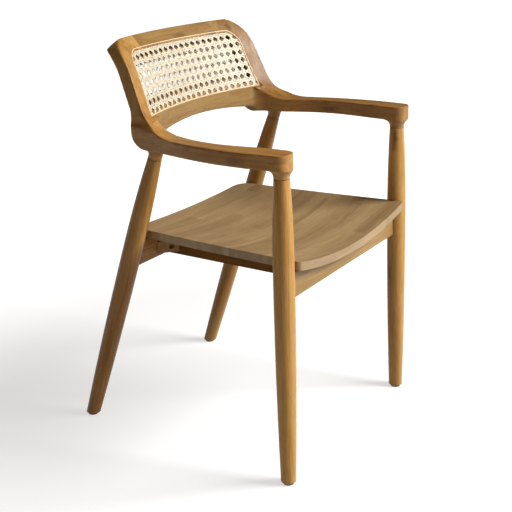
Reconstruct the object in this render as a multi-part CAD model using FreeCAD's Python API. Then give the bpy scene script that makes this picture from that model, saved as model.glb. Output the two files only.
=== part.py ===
import FreeCAD, Part
import math
import os

# Armchair with turned legs, swept arms, a dished plank seat and a back caned on both faces.
# Millimetres. X points to the sitter's left, Y to the rear, Z up. The origin is on the floor under the
# middle of the chair. The chair is the same on both sides of the plane X = 0.

# Overall sizes
overall_depth = 575.0
arm_height = 665.0
back_rise = 175.0
frame_half_width_low = 222.0
arm_thickness = 28.0

# Legs
front_leg_spread = 6.5
front_leg_splay = 8.5
rear_leg_inset = 10.5
rear_leg_splay = 12.0
front_leg_setback = 24.5
arm_tip_overhang = 21.0
rear_leg_set_forward = 46.5
leg_foot_radius = 15.0
front_top_radius = 15.0
rear_top_radius = 13.8
leg_belly_radius = 20.2
leg_swell_share = 0.25
foot_chamfer = 2.5
tenon_radius = 10.0
tenon_length = 26.0

# Glides under the feet
glide_radius = 11.0
glide_thickness = 3.0
nail_radius = 1.2
nail_length = 16.0
nail_recess_share = 0.25

# Arms, given by their centre line and width in plan
arm_width_tip = 48.0
arm_width_middle = 44.0
arm_width_heel = 39.0
arm_bow = 8.0
arm_tip_corner_radius = 19.0
arm_tip_shift = 3.5
heel_setback = 219.0
heel_inset = 4.0
arm_tip_taper = 3.0
heel_swell = 13.0
front_boss_drop = 19.0
front_boss_flare = 17.0
rear_boss_drop = 18.0
rear_boss_flare = 8.0

# Back frame: a band bowed about an upright axis in front of the chair
back_bow_radius = 607.0
back_set_in = 208.0
back_lean = 20.0
swoop_radius = 80.0
curl_rise = 65.0
curl_radius = 170.0
frame_thickness = 27.0
frame_taper = 15.0
frame_corner_radius = 45.0
heel_break_rise = 43.0
heel_radius = 30.0
heel_flare_rise = 32.0
heel_flare_radius = 24.0
post_joint_rise = 22.0
post_joint_slope = 29.0
seam_lead_share = 0.25
seam_reach_share = 0.25
band_start_share = 1.0 / 3
top_joint_half_span = 125.0
rail_arch_drop = 3.0
rail_end_drop = 14.0
rail_joint_inset = 9.0
rail_top_margin = 2.0

# Cane border, which is the outer edge of the groove
post_width_low = 29.0
post_width_high = 22.0
border_side_bow = 5.0
border_low_rise = 27.0
border_rear_lift = 20.0
border_arch_rise = 1.0
border_top_margin = 22.0
border_corner_radius = 36.0
groove_width = 4.5
groove_depth = 7.0
lip_width = 8.0
cane_recess = 0.8
cane_thickness = 1.6
spline_depth = 5.0
spline_crown = 0.5
fit_gap = 0.1

# Cane net
net_pitch_x = 18.0
net_pitch_z = 16.0
net_hole_radius = 5.4
net_hole_sides = 4
net_edge_margin = 3.0

# Aprons and seat rails
apron_drop = 80.0
apron_height = 51.0
apron_thickness = 20.0
front_apron_set_forward = 2.0
rear_apron_set_back = 1.7
rail_outer_half_span = 110.0
rail_thickness = 22.0
mortise_tenon_thickness = 10.0
mortise_tenon_shoulder = 8.0
mortise_tenon_length = 13.0
stub_tenon_length = 9.0
scribe_gap = 0.15
edge_round = 2.0

# Glue blocks
block_leg = 34.0
block_height = 26.0
block_lift = 7.0
block_screw_share = 0.35

# Seat
seat_rear_setback = 6.0
seat_front_inset = 13.5
seat_rear_inset = 18.5
seat_edge_height = 461.0
seat_thickness = 17.0
seat_front_dip = 27.0
seat_middle_dip = 25.0
seat_rear_dip = 8.0
seat_corner_radius = 34.0
seat_front_corner_radius = 8.0
seat_board_count = 5
seat_sections = 4
seat_bed_gap = 0.2
seat_leg_gap = 0.5

# Fasteners
dowel_radius = 4.0
dowel_length = 40.0
dowel_spacing = 15.0
top_dowel_spacing = 12.0
post_dowel_spacing = 10.0
screw_radius = 2.2
screw_head_radius = 4.5
screw_head_height = 3.0
screw_bite = 11.0
screw_counterbore_depth = 16.0
screw_end_distance = 70.0
screw_clearance = 0.3

# Room that a cutting tool runs past what it cuts
overrun = 60.0

# Two directions count as one within this
parallel_tolerance = 1e-6

# Derived places
back_height = arm_height + back_rise
front_leg_y = -overall_depth / 2 + front_leg_setback
back_middle_y = overall_depth / 2 - back_set_in
rear_leg_top_y = back_middle_y - rear_leg_set_forward
front_top_half_span = frame_half_width_low + front_leg_spread
front_foot_half_span = front_top_half_span + front_leg_splay
rear_top_half_span = frame_half_width_low - rear_leg_inset
rear_foot_half_span = rear_top_half_span + rear_leg_splay
arm_underside = arm_height - arm_thickness
axis_y = back_middle_y - back_bow_radius
lean = math.radians(back_lean)
rear_foot_y = overall_depth / 2 - leg_foot_radius
curl_start_height = back_height - curl_rise
heel_break_height = arm_height + heel_break_rise
heel_flare_height = arm_height + heel_flare_rise
post_joint_height = arm_height + post_joint_rise
rail_arch_height = arm_height - rail_arch_drop
frame_half_width_high = frame_half_width_low - frame_taper
border_half_width_low = frame_half_width_low - post_width_low
border_half_width_high = frame_half_width_high - post_width_high
border_low_height = arm_height + border_low_rise
apron_bottom = seat_edge_height - apron_drop
apron_top = apron_bottom + apron_height
apron_middle = apron_bottom + apron_height / 2
block_bottom = apron_bottom + block_lift
seat_front_y = -overall_depth / 2
seat_half_width_front = front_top_half_span - seat_front_inset
seat_half_width_rear = rear_top_half_span - seat_rear_inset
lip_inset = groove_width + lip_width
rail_joint_x = border_half_width_low - lip_inset - rail_joint_inset
border_low_rear = border_low_height + border_rear_lift
rail_top = border_low_rear + lip_inset + border_arch_rise + rail_top_margin


full_turn = 360


def vec(x, y, z):
    return FreeCAD.Vector(x, y, z)


def unit(vector):
    return vector.multiply(1.0 / vector.Length)


def mirrored(shape):
    return shape.mirror(vec(0, 0, 0), vec(1, 0, 0))


def box_between(low, high):
    size = high.sub(low)
    return Part.makeBox(size.x, size.y, size.z, low)


def interpolated(points):
    curve = Part.BSplineCurve()
    curve.interpolate(points)
    return curve.toShape()


def prism(edges, direction):
    return Part.Face(Part.Wire(edges)).extrude(direction)


def closed_lines(points):
    return [Part.makeLine(a, b) for a, b in zip(points, points[1:] + points[:1])]


def main_solid(shape):
    """The piece itself, without splinters that a groove may leave beside a joint."""
    return sorted(shape.Solids, key=lambda solid: solid.Volume)[-1]


def joined(shapes):
    return shapes[0].multiFuse(shapes[1:]).removeSplitter()


def edge_round_along(shape, axis, radius):
    """Round the straight edges that run along one axis."""
    chosen = []
    for edge in shape.Edges:
        if edge.Curve.TypeId != "Part::GeomLine":
            continue
        direction = edge.tangentAt(edge.FirstParameter)
        if abs(abs(direction.dot(axis)) - 1) < parallel_tolerance:
            chosen.append(edge)
    return shape.makeFillet(radius, chosen)


def upright_edges(shape, y):
    """The upright edges of a prism that stand at one place fore and aft."""
    chosen = []
    for edge in shape.Edges:
        box = edge.BoundBox
        if box.XLength < fit_gap and box.YLength < fit_gap and abs(box.YMin - y) < fit_gap:
            chosen.append(edge)
    return chosen


# Legs

class LegAxis:
    """The straight centre line of a leg, from the floor to the arm's underside."""

    def __init__(self, foot, top, boss_drop, top_radius):
        self.foot = foot
        self.top_radius = top_radius
        self.direction = unit(top.sub(foot))
        self.shoulder = top.sub(foot).Length - boss_drop / self.direction.z

    def point(self, distance):
        return self.foot.add(vec(self.direction.x, self.direction.y, self.direction.z).multiply(distance))

    def at_height(self, height):
        return self.point(height / self.direction.z)

    def place(self, shape):
        turned = shape.copy()
        rotation = FreeCAD.Rotation(vec(0, 0, 1), self.direction)
        turned.Placement = FreeCAD.Placement(self.foot, rotation)
        return turned


front_axis = LegAxis(vec(front_foot_half_span, front_leg_y, 0),
                     vec(front_top_half_span, front_leg_y, arm_underside), front_boss_drop,
                     front_top_radius)
rear_axis = LegAxis(vec(rear_foot_half_span, rear_foot_y, 0),
                    vec(rear_top_half_span, rear_leg_top_y, arm_underside), rear_boss_drop,
                    rear_top_radius)


rear_apron_face_y = rear_axis.at_height(apron_middle).y + rear_apron_set_back - apron_thickness / 2
seat_rear_y = rear_apron_face_y + apron_thickness - seat_rear_setback


def swelling(end_radius, end_height, belly_radius, belly_height):
    """Arc that leaves the belly upright and reaches the leg's end at its own radius."""
    middle_height = (end_height + belly_height) / 2
    middle_radius = belly_radius - (belly_radius - end_radius) * leg_swell_share
    return Part.Arc(vec(end_radius, 0, end_height), vec(middle_radius, 0, middle_height),
                    vec(belly_radius, 0, belly_height)).toShape()


def leg_turning(axis, extra):
    """The turned body of a leg about its own axis, thicker all round by extra.

    The belly is straight for the height of the apron and eases off above and below it.
    """
    foot_radius = leg_foot_radius + extra
    top_radius = axis.top_radius + extra
    belly_radius = leg_belly_radius + extra
    belly_low = apron_bottom / axis.direction.z
    belly_high = apron_top / axis.direction.z
    outline = [Part.makeLine(vec(0, 0, -overrun), vec(foot_radius, 0, -overrun)),
               Part.makeLine(vec(foot_radius, 0, -overrun), vec(foot_radius, 0, 0)),
               swelling(foot_radius, 0, belly_radius, belly_low),
               Part.makeLine(vec(belly_radius, 0, belly_low), vec(belly_radius, 0, belly_high)),
               swelling(top_radius, axis.shoulder, belly_radius, belly_high),
               Part.makeLine(vec(top_radius, 0, axis.shoulder), vec(0, 0, axis.shoulder)),
               Part.makeLine(vec(0, 0, axis.shoulder), vec(0, 0, -overrun))]
    outline = Part.__sortEdges__(outline)
    return axis.place(Part.Face(Part.Wire(outline)).revolve(vec(0, 0, 0), vec(0, 0, 1), full_turn))


def above(height):
    reach = overall_depth + back_height
    return box_between(vec(-reach, -reach, height), vec(reach, reach, back_height + reach))


def nail_hole(axis):
    foot = axis.at_height(glide_thickness)
    return Part.makeCylinder(nail_radius + fit_gap, nail_length, vec(foot.x, foot.y, 0), vec(0, 0, 1))


def leg(axis, mortise):
    body = leg_turning(axis, 0).common(above(glide_thickness))
    base_edge = [e for e in body.Edges if e.BoundBox.ZMax - glide_thickness < fit_gap]
    body = body.makeChamfer(foot_chamfer, base_edge)
    tenon = axis.place(Part.makeCylinder(tenon_radius, tenon_length, vec(0, 0, axis.shoulder)))
    body = body.fuse(tenon)
    return body.cut(Part.makeCompound([mortise, nail_hole(axis)]))


def glide(axis):
    foot = axis.at_height(glide_thickness)
    disc = Part.makeCylinder(glide_radius, glide_thickness, vec(foot.x, foot.y, 0))
    head_seat = Part.makeCylinder(nail_radius + fit_gap, glide_thickness, vec(foot.x, foot.y, 0))
    return disc.cut(head_seat)


def glide_nail(axis):
    foot = axis.at_height(glide_thickness)
    recess = glide_thickness * nail_recess_share
    return Part.makeCylinder(nail_radius, nail_length - recess - fit_gap, vec(foot.x, foot.y, recess))


# Back band and the profile that arm and post share

def radial(radius, height):
    """A point of the band's profile, drawn in the plane X = 0."""
    return vec(0, axis_y + radius, height)


def lean_line(height, offset):
    """Radius of the straight part of the back, offset square to its face."""
    return back_bow_radius + offset / math.cos(lean) + (height - arm_height) * math.tan(lean)


def curl_centre():
    start = radial(lean_line(curl_start_height, 0), curl_start_height)
    return start.add(vec(0, math.cos(lean), -math.sin(lean)).multiply(curl_radius))


def curl_point(offset, angle):
    """A point of the backward curl. The angle is measured from the horizontal through its centre."""
    radius = curl_radius - offset
    return curl_centre().add(vec(0, -math.cos(angle), math.sin(angle)).multiply(radius))


def curl_angle(height, offset):
    return math.asin((height - curl_centre().z) / (curl_radius - offset))


def curl_edge(offset, end_angle):
    middle = (lean + end_angle) / 2
    return Part.Arc(curl_point(offset, lean), curl_point(offset, middle),
                    curl_point(offset, end_angle)).toShape()


def bowed(face, half_angle):
    """Turn a profile about the upright axis, to both sides of the middle."""
    shape = face.copy()
    shape.rotate(vec(0, axis_y, 0), vec(0, 0, 1), -half_angle)
    return shape.revolve(vec(0, axis_y, 0), vec(0, 0, 1), 2 * half_angle)


band_half_angle = math.degrees(math.asin((frame_half_width_low + overrun / 2) / back_bow_radius))
top_angle = curl_angle(back_height, 0)


def band(inner_offset, outer_offset, end_angle):
    """The back's curved sheet between two depths behind its front face."""
    low = arm_underside - overrun
    front_low = radial(lean_line(low, inner_offset), low)
    rear_low = radial(lean_line(low, outer_offset), low)
    front_break = curl_point(inner_offset, lean)
    rear_break = curl_point(outer_offset, lean)
    edges = [Part.makeLine(front_low, front_break), curl_edge(inner_offset, end_angle),
             Part.makeLine(curl_point(inner_offset, end_angle), curl_point(outer_offset, end_angle)),
             curl_edge(outer_offset, end_angle), Part.makeLine(rear_break, rear_low),
             Part.makeLine(rear_low, front_low)]
    return bowed(Part.Face(Part.Wire(Part.__sortEdges__(edges))), band_half_angle)


def swept_profile():
    """Arm, heel and post in one outline: the flat top sweeps up into the front of the post."""
    centre_height = arm_height + swoop_radius
    tangent_height = centre_height - swoop_radius * math.sin(lean)
    tangent_radius = lean_line(tangent_height, 0)
    centre_radius = tangent_radius - swoop_radius * math.cos(lean)
    middle = (math.pi / 2 + lean) / 2
    inner_radius = back_bow_radius - overall_depth
    flat_start = radial(inner_radius, arm_height)
    swoop_start = radial(centre_radius, arm_height)
    swoop_middle = radial(centre_radius + swoop_radius * math.cos(middle),
                          centre_height - swoop_radius * math.sin(middle))
    swoop_end = radial(tangent_radius, tangent_height)
    rear_radius = lean_line(heel_break_height, frame_thickness)
    heel_top = radial(rear_radius, heel_break_height)
    heel_low = radial(rear_radius, arm_underside + heel_radius)
    quarter = math.pi / 4
    heel_middle = radial(rear_radius - heel_radius * (1 - math.cos(quarter)),
                         arm_underside + heel_radius * (1 - math.sin(quarter)))
    heel_end = radial(rear_radius - heel_radius, arm_underside)
    under_start = radial(inner_radius, arm_underside)
    edges = [Part.makeLine(flat_start, swoop_start),
             Part.Arc(swoop_start, swoop_middle, swoop_end).toShape(),
             Part.makeLine(swoop_end, curl_point(0, lean)), curl_edge(0, top_angle),
             Part.makeLine(curl_point(0, top_angle), curl_point(frame_thickness, top_angle)),
             curl_edge(frame_thickness, top_angle),
             Part.makeLine(curl_point(frame_thickness, lean), heel_top),
             Part.makeLine(heel_top, heel_low),
             Part.Arc(heel_low, heel_middle, heel_end).toShape(),
             Part.makeLine(heel_end, under_start), Part.makeLine(under_start, flat_start)]
    return Part.Face(Part.Wire(Part.__sortEdges__(edges)))


def turned_left(face, start_angle, end_angle):
    """Revolve a profile about the back's axis on the left side only."""
    shape = face.copy()
    shape.rotate(vec(0, axis_y, 0), vec(0, 0, 1), -end_angle)
    return shape.revolve(vec(0, axis_y, 0), vec(0, 0, 1), end_angle - start_angle)


def polar_angle(x, radius):
    return math.degrees(math.asin(x / radius))


def through_back(edges):
    """Carry an outline drawn on the plane of the front through the whole depth."""
    face = Part.Face(Part.Wire(edges))
    face.translate(vec(0, -overall_depth, 0))
    return face.extrude(vec(0, overall_depth * 2, 0))


def rounded_at(prism_shape, points, radius):
    """Round the fore-and-aft edges of a prism that pass through the given points of its outline."""
    chosen = []
    for edge in prism_shape.Edges:
        middle = edge.CenterOfMass
        for point in points:
            if math.hypot(middle.x - point.x, middle.z - point.z) < fit_gap and abs(middle.y) < fit_gap:
                chosen.append(edge)
    return prism_shape.makeFillet(radius, chosen)


def frame_outline():
    """Outer outline of the back seen from the front, flaring out to the arms at its foot."""
    low = vec(0, 0, arm_underside - overrun)
    wide = frame_half_width_low + heel_flare_radius + overrun
    flare_top = vec(frame_half_width_low, 0, heel_flare_height)
    flare_end = vec(frame_half_width_low + heel_flare_radius, 0, heel_flare_height - heel_flare_radius)
    drop = heel_flare_radius * math.sin(math.pi / 4)
    flare_middle = vec(flare_end.x - drop, 0, flare_top.z - drop)
    corner = vec(frame_half_width_high, 0, back_height)
    half = [Part.makeLine(low, vec(wide, 0, low.z)),
            Part.makeLine(vec(wide, 0, low.z), vec(wide, 0, flare_end.z)),
            Part.makeLine(vec(wide, 0, flare_end.z), flare_end),
            Part.Arc(flare_end, flare_middle, flare_top).toShape(),
            Part.makeLine(flare_top, corner),
            Part.makeLine(corner, vec(0, 0, back_height)),
            Part.makeLine(vec(0, 0, back_height), low)]
    return rounded_at(through_back(half), [corner], frame_corner_radius)


def border(low_height, top_height, inset):
    """The cane's border as a prism through the back, drawn in by inset all round."""
    wide_low = border_half_width_low - inset
    wide_high = border_half_width_high - inset
    low = low_height + inset
    high = top_height - inset
    middle = vec((wide_low + wide_high) / 2 - border_side_bow, 0, (low + high) / 2)
    left_low = vec(wide_low, 0, low)
    left_high = vec(wide_high, 0, high)
    right_low = vec(-wide_low, 0, low)
    right_high = vec(-wide_high, 0, high)
    edges = [Part.Arc(right_low, vec(0, 0, low + border_arch_rise), left_low).toShape(),
             Part.Arc(left_low, middle, left_high).toShape(),
             Part.makeLine(left_high, right_high),
             Part.Arc(right_high, vec(-middle.x, 0, middle.z), right_low).toShape()]
    radius = border_corner_radius - inset
    return rounded_at(through_back(edges), [left_high, right_high], radius)


border_top_front = back_height - border_top_margin
rear_scale = (curl_radius - frame_thickness) / curl_radius
border_top_rear = curl_point(frame_thickness, top_angle).z - border_top_margin * rear_scale
opening_front = border(border_low_height, border_top_front, lip_inset)
opening_rear = border(border_low_rear, border_top_rear, lip_inset)
cane_front_region = border(border_low_height, border_top_front, groove_width)
cane_rear_region = border(border_low_rear, border_top_rear, groove_width)
beyond_rear = frame_thickness + overrun / 4
beyond_front = -overrun / 4
rebate = cane_recess + cane_thickness
full_curl = math.pi / 2


def back_cutter():
    """Everything taken out of the frame for the cane: opening, rebates and grooves on both faces."""
    groove_front = border(border_low_height, border_top_front, 0).cut(cane_front_region)
    groove_rear = border(border_low_rear, border_top_rear, 0).cut(cane_rear_region)
    halfway = frame_thickness / 2
    pieces = [opening_front.common(band(beyond_front, halfway, full_curl)),
              opening_rear.common(band(halfway, beyond_rear, full_curl)),
              cane_front_region.common(band(beyond_front, rebate, full_curl)),
              cane_rear_region.common(band(frame_thickness - rebate, beyond_rear, full_curl)),
              groove_front.common(band(beyond_front, groove_depth, full_curl)),
              groove_rear.common(band(frame_thickness - groove_depth, beyond_rear, full_curl))]
    return Part.makeCompound(pieces)


def post_zone():
    """The space above the slanted joint between arm and post."""
    seam_rise = arm_height + swoop_radius - post_joint_height
    centre_height = arm_height + swoop_radius
    tangent_height = centre_height - swoop_radius * math.sin(lean)
    centre_radius = lean_line(tangent_height, 0) - swoop_radius * math.cos(lean)
    seam_radius = centre_radius + math.sqrt(swoop_radius ** 2 - seam_rise ** 2)
    slope = math.tan(math.radians(post_joint_slope))
    before = swoop_radius * seam_lead_share
    reach = overall_depth * seam_reach_share
    top = back_height + overrun
    points = [radial(seam_radius - before, post_joint_height - before * slope),
              radial(seam_radius + reach, post_joint_height + reach * slope),
              radial(seam_radius + reach, top), radial(seam_radius - before, top)]
    zone = prism(closed_lines(points), vec(reach * 2, 0, 0))
    zone.translate(vec(-reach, 0, 0))
    middle_x = (rail_joint_x + frame_half_width_low) / 2
    zone.rotate(vec(0, axis_y, 0), vec(0, 0, 1), -polar_angle(middle_x, seam_radius))
    return zone


# Fastener holes and dowels

def pin(centre, direction, radius, length):
    start = centre.sub(vec(direction.x, direction.y, direction.z).multiply(length / 2))
    return Part.makeCylinder(radius, length, start, direction)


def arm_post_pins(radius, length):
    height = post_joint_height + frame_thickness / 2 * math.tan(math.radians(post_joint_slope))
    middle_radius = lean_line(height, frame_thickness / 2)
    middle_x = (border_half_width_low + frame_half_width_low) / 2
    pins = []
    for x in (middle_x - post_dowel_spacing / 2, middle_x + post_dowel_spacing / 2):
        angle = polar_angle(x, middle_radius)
        shape = pin(radial(middle_radius, height), vec(0, math.sin(lean), math.cos(lean)), radius, length)
        shape.rotate(vec(0, axis_y, 0), vec(0, 0, 1), -angle)
        pins.append(shape)
    return pins


def top_rail_pins(radius, length):
    depth = frame_thickness / 2
    low_angle = curl_angle(border_top_front - lip_inset, depth)
    middle_angle = (low_angle + top_angle) / 2
    half_step = top_dowel_spacing / 2 / (curl_radius - depth)
    pins = []
    for angle in (middle_angle - half_step, middle_angle + half_step):
        place = curl_point(depth, angle)
        shape = pin(place, vec(1, 0, 0), radius, length)
        turn = polar_angle(top_joint_half_span, place.y - axis_y)
        shape.rotate(vec(0, axis_y, 0), vec(0, 0, 1), -turn)
        pins.append(shape)
    return pins


def lower_rail_pins(radius, length):
    end_height = rail_arch_height - rail_end_drop
    top = post_joint_height
    middle_height = (end_height + top) / 2
    middle_radius = (lean_line(border_low_height, 0) + lean_line(heel_break_height, frame_thickness)) / 2
    pins = []
    for height in (middle_height - dowel_spacing / 2, middle_height + dowel_spacing / 2):
        shape = pin(radial(middle_radius, height), vec(1, 0, 0), radius, length)
        shape.rotate(vec(0, axis_y, 0), vec(0, 0, 1), -polar_angle(rail_joint_x, middle_radius))
        pins.append(shape)
    return pins


# Arm and post

def arm_plan():
    """Plan outline of the left arm, tip to heel, as a tall prism."""
    tip_x = front_top_half_span + arm_tip_shift
    heel_y = front_leg_y + heel_setback
    middle_y = (front_leg_y + heel_y) / 2
    middle_x = tip_x + arm_bow
    heel_x = tip_x - heel_inset
    tip_y = front_leg_y - arm_tip_overhang
    rear_y = rear_leg_top_y + overrun * 2
    swell_y = rear_leg_top_y - frame_thickness / 2
    outer = [vec(tip_x + arm_width_tip / 2 - arm_tip_taper, tip_y, 0),
             vec(tip_x + arm_width_tip / 2, front_leg_y, 0),
             vec(middle_x + arm_width_middle / 2, middle_y, 0),
             vec(heel_x + arm_width_heel / 2, heel_y, 0),
             vec(frame_half_width_low + heel_swell, swell_y, 0),
             vec(frame_half_width_low + heel_swell / 2, rear_y, 0)]
    rail_face_y = axis_y + math.sqrt(lean_line(border_low_height, 0) ** 2 - rail_joint_x ** 2)
    inner = [vec(tip_x - arm_width_tip / 2 + arm_tip_taper, tip_y, 0),
             vec(tip_x - arm_width_tip / 2, front_leg_y, 0),
             vec(middle_x - arm_width_middle / 2, middle_y, 0),
             vec(heel_x - arm_width_heel / 2, heel_y, 0),
             vec(rail_joint_x + heel_swell + lip_width / 2, swell_y, 0),
             vec(rail_joint_x + rail_joint_inset, rail_face_y - heel_swell, 0),
             vec(rail_joint_x, rail_face_y, 0)]
    rear_inner = vec(rail_joint_x, rear_y, 0)
    edges = [interpolated(outer), Part.makeLine(outer[-1], rear_inner),
             Part.makeLine(rear_inner, inner[-1]), interpolated(inner[::-1]),
             Part.makeLine(inner[0], outer[0])]
    shape = prism(edges, vec(0, 0, back_height))
    return shape.makeFillet(arm_tip_corner_radius, upright_edges(shape, tip_y))


def boss_stub(axis):
    length = arm_thickness / 2 + (axis.foot.sub(axis.at_height(arm_underside)).Length - axis.shoulder)
    return axis.place(Part.makeCylinder(axis.top_radius, length, vec(0, 0, axis.shoulder)))


def flared(body, axis, radius):
    """Ease the stub's meeting with the arm's underside by a hollow flare."""
    centre = axis.at_height(arm_underside)
    chosen = []
    for edge in body.Edges:
        box = edge.BoundBox
        level = abs(box.ZMax - arm_underside) < fit_gap and box.ZLength < fit_gap
        if level and edge.CenterOfMass.sub(centre).Length < axis.top_radius:
            chosen.append(edge)
    return body.makeFillet(radius, chosen)


def arm_blank():
    tip_angle = math.degrees(math.atan2(front_top_half_span + overrun, back_bow_radius - overall_depth
                                        + back_middle_y + overrun))
    sweep = turned_left(swept_profile(), band_half_angle * band_start_share, tip_angle)
    body = joined([sweep, boss_stub(front_axis), boss_stub(rear_axis)])
    body = flared(body, front_axis, front_boss_flare)
    return flared(body, rear_axis, rear_boss_flare)


def leg_bore(axis):
    deep = tenon_length + fit_gap * 2
    return axis.place(Part.makeCylinder(tenon_radius + fit_gap, deep, vec(0, 0, axis.shoulder)))


def lower_rail():
    """The curved rail under the cane, arched below."""
    low = arm_underside - overrun
    high = rail_top
    points = [radial(lean_line(border_low_height, 0), low),
              radial(lean_line(border_low_height, 0), border_low_height),
              radial(lean_line(high, 0), high), radial(lean_line(high, frame_thickness), high),
              radial(lean_line(heel_break_height, frame_thickness), heel_break_height),
              radial(lean_line(heel_break_height, frame_thickness), low)]
    body = bowed(Part.Face(Part.Wire(closed_lines(points))), band_half_angle)
    end_low = rail_arch_height - rail_end_drop
    left = vec(rail_joint_x, 0, end_low)
    right = vec(-rail_joint_x, 0, end_low)
    edges = [Part.Arc(right, vec(0, 0, rail_arch_height), left).toShape(),
             Part.makeLine(left, vec(rail_joint_x, 0, high)),
             Part.makeLine(vec(rail_joint_x, 0, high), vec(-rail_joint_x, 0, high)),
             Part.makeLine(vec(-rail_joint_x, 0, high), right)]
    return body.common(through_back(edges))


def below_opening():
    """The space between the posts up to the cane's opening, which the lower rail fills."""
    reach = overall_depth
    return box_between(vec(-rail_joint_x, -reach, 0), vec(rail_joint_x, reach, rail_top))


def top_rail_zone():
    reach = overall_depth
    return box_between(vec(-top_joint_half_span, -reach, curl_start_height),
                       vec(top_joint_half_span, reach, back_height + overrun))


# Seat

def seat_station(y, dip, room):
    """One cross section of the dished seat blank, hollow in the middle and high at the sides.

    With room set, the section is instead all that the seat and the air above it take up.
    """
    wide = seat_half_width_front + seat_corner_radius
    steep = (wide / seat_half_width_front) ** 2 - 1
    edge_height = seat_edge_height + dip * steep
    left = vec(wide, y, edge_height)
    right = vec(-wide, y, edge_height)
    middle = vec(0, y, seat_edge_height - dip)
    down = vec(0, 0, -seat_thickness)
    if room:
        down = vec(0, 0, -seat_thickness - seat_bed_gap)
        left_high = vec(wide, y, arm_underside)
        right_high = vec(-wide, y, arm_underside)
        return Part.Wire([Part.Arc(left.add(down), middle.add(down), right.add(down)).toShape(),
                          Part.makeLine(right.add(down), right_high),
                          Part.makeLine(right_high, left_high),
                          Part.makeLine(left_high, left.add(down))])
    return Part.Wire([Part.Arc(right, middle, left).toShape(), Part.makeLine(left, left.add(down)),
                      Part.Arc(left.add(down), middle.add(down), right.add(down)).toShape(),
                      Part.makeLine(right.add(down), right)])


def seat_dip(share):
    """Depth of the hollow along the seat, from the front edge at 0 to the rear edge at 1."""
    through_ends = seat_front_dip + (seat_rear_dip - seat_front_dip) * share
    sag = seat_middle_dip - (seat_front_dip + seat_rear_dip) / 2
    return through_ends + sag * (1 - (2 * share - 1) ** 2)


def seat_blank(room):
    stations = []
    length = seat_rear_y - seat_front_y
    for step in range(-1, seat_sections + 2):
        share = step / seat_sections
        stations.append(seat_station(seat_front_y + length * share, seat_dip(share), room))
    return Part.makeLoft(stations, True, False)


def seat_plan():
    front = seat_half_width_front
    rear = seat_half_width_rear
    points = [vec(-front, seat_front_y, 0), vec(front, seat_front_y, 0), vec(rear, seat_rear_y, 0),
              vec(-rear, seat_rear_y, 0)]
    shape = prism(closed_lines(points), vec(0, 0, arm_underside))
    shape = shape.makeFillet(seat_corner_radius, upright_edges(shape, seat_rear_y))
    return shape.makeFillet(seat_front_corner_radius, upright_edges(shape, seat_front_y))


# Underframe

def tenon_box(low, high, clearance):
    grow = vec(clearance, clearance, clearance)
    return box_between(low.sub(grow), high.add(grow))


def apron_tenon(axis, y_front, clearance):
    """Tenon at the left end of an apron, from inside the apron's own wood into the leg."""
    leg_face_x = axis.at_height(apron_middle).x - leg_belly_radius
    middle_y = y_front + apron_thickness / 2
    half = mortise_tenon_thickness / 2
    low = vec(leg_face_x - mortise_tenon_length, middle_y - half, apron_bottom + mortise_tenon_shoulder)
    high = vec(leg_face_x + mortise_tenon_length, middle_y + half, apron_top - mortise_tenon_shoulder)
    return tenon_box(low, high, clearance)


def rail_tenon(y_shoulder, outward, clearance):
    """Stub tenon of the left seat rail at one end, pointing forward or back."""
    middle_x = rail_outer_half_span - rail_thickness / 2
    half = mortise_tenon_thickness / 2
    y_end = y_shoulder + outward * stub_tenon_length
    inside = y_shoulder - outward * stub_tenon_length
    low = vec(middle_x - half, min(y_end, inside), apron_bottom + mortise_tenon_shoulder)
    high = vec(middle_x + half, max(y_end, inside), rail_tenon_top)
    return tenon_box(low, high, clearance)


front_apron_y = front_leg_y - front_apron_set_forward
front_apron_rear_y = front_apron_y + apron_thickness
rail_tenon_top = apron_top - mortise_tenon_shoulder * 2


def apron(y_front, axis, seat_room, mortises):
    """A rail from leg to leg, its ends shaped to the round of the legs, with a tenon at each end."""
    half = axis.at_height(apron_middle).x
    body = box_between(vec(-half, y_front, apron_bottom), vec(half, y_front + apron_thickness, apron_top))
    body = edge_round_along(body, vec(1, 0, 0), edge_round)
    leg_room = leg_turning(axis, scribe_gap)
    body = body.cut(Part.makeCompound([leg_room, mirrored(leg_room)]))
    tenon = apron_tenon(axis, y_front, 0)
    body = joined([body, tenon, mirrored(tenon)])
    return body.cut(Part.makeCompound([seat_room] + mortises))


def seat_rail(seat_room, screw_holes):
    low = vec(rail_outer_half_span - rail_thickness, front_apron_rear_y, apron_bottom)
    high = vec(rail_outer_half_span, rear_apron_face_y, seat_edge_height)
    body = box_between(low, high).cut(seat_room)
    front_tenon = rail_tenon(front_apron_rear_y, -1, 0)
    rear_tenon = rail_tenon(rear_apron_face_y, 1, 0)
    body = joined([body, front_tenon, rear_tenon])
    return body.cut(Part.makeCompound(screw_holes))


# Glue blocks in the corners between aprons and seat rails, outside the rails

def glue_block(y_apron, inward):
    x = rail_outer_half_span
    points = [vec(x, y_apron, block_bottom), vec(x + block_leg, y_apron, block_bottom),
              vec(x, y_apron + inward * block_leg, block_bottom)]
    return prism(closed_lines(points), vec(0, 0, block_height))


def block_screw(y_apron, inward, clearance):
    """Screw from a glue block's slanted face into the apron."""
    x = rail_outer_half_span + block_leg * block_screw_share
    z = block_bottom + block_height / 2
    start = vec(x, y_apron + inward * block_leg / 2, z)
    direction = vec(0, -inward, 0)
    length = block_leg / 2 + screw_bite
    shank = Part.makeCylinder(screw_radius + clearance, length + clearance, start, direction)
    head = Part.makeCylinder(screw_head_radius + clearance, screw_head_height + clearance, start, direction)
    if clearance == 0:
        return joined([shank, head])
    way_in = Part.makeCylinder(screw_head_radius + clearance, block_leg, start,
                               vec(0, inward, 0))
    return joined([shank, head, way_in])


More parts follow.
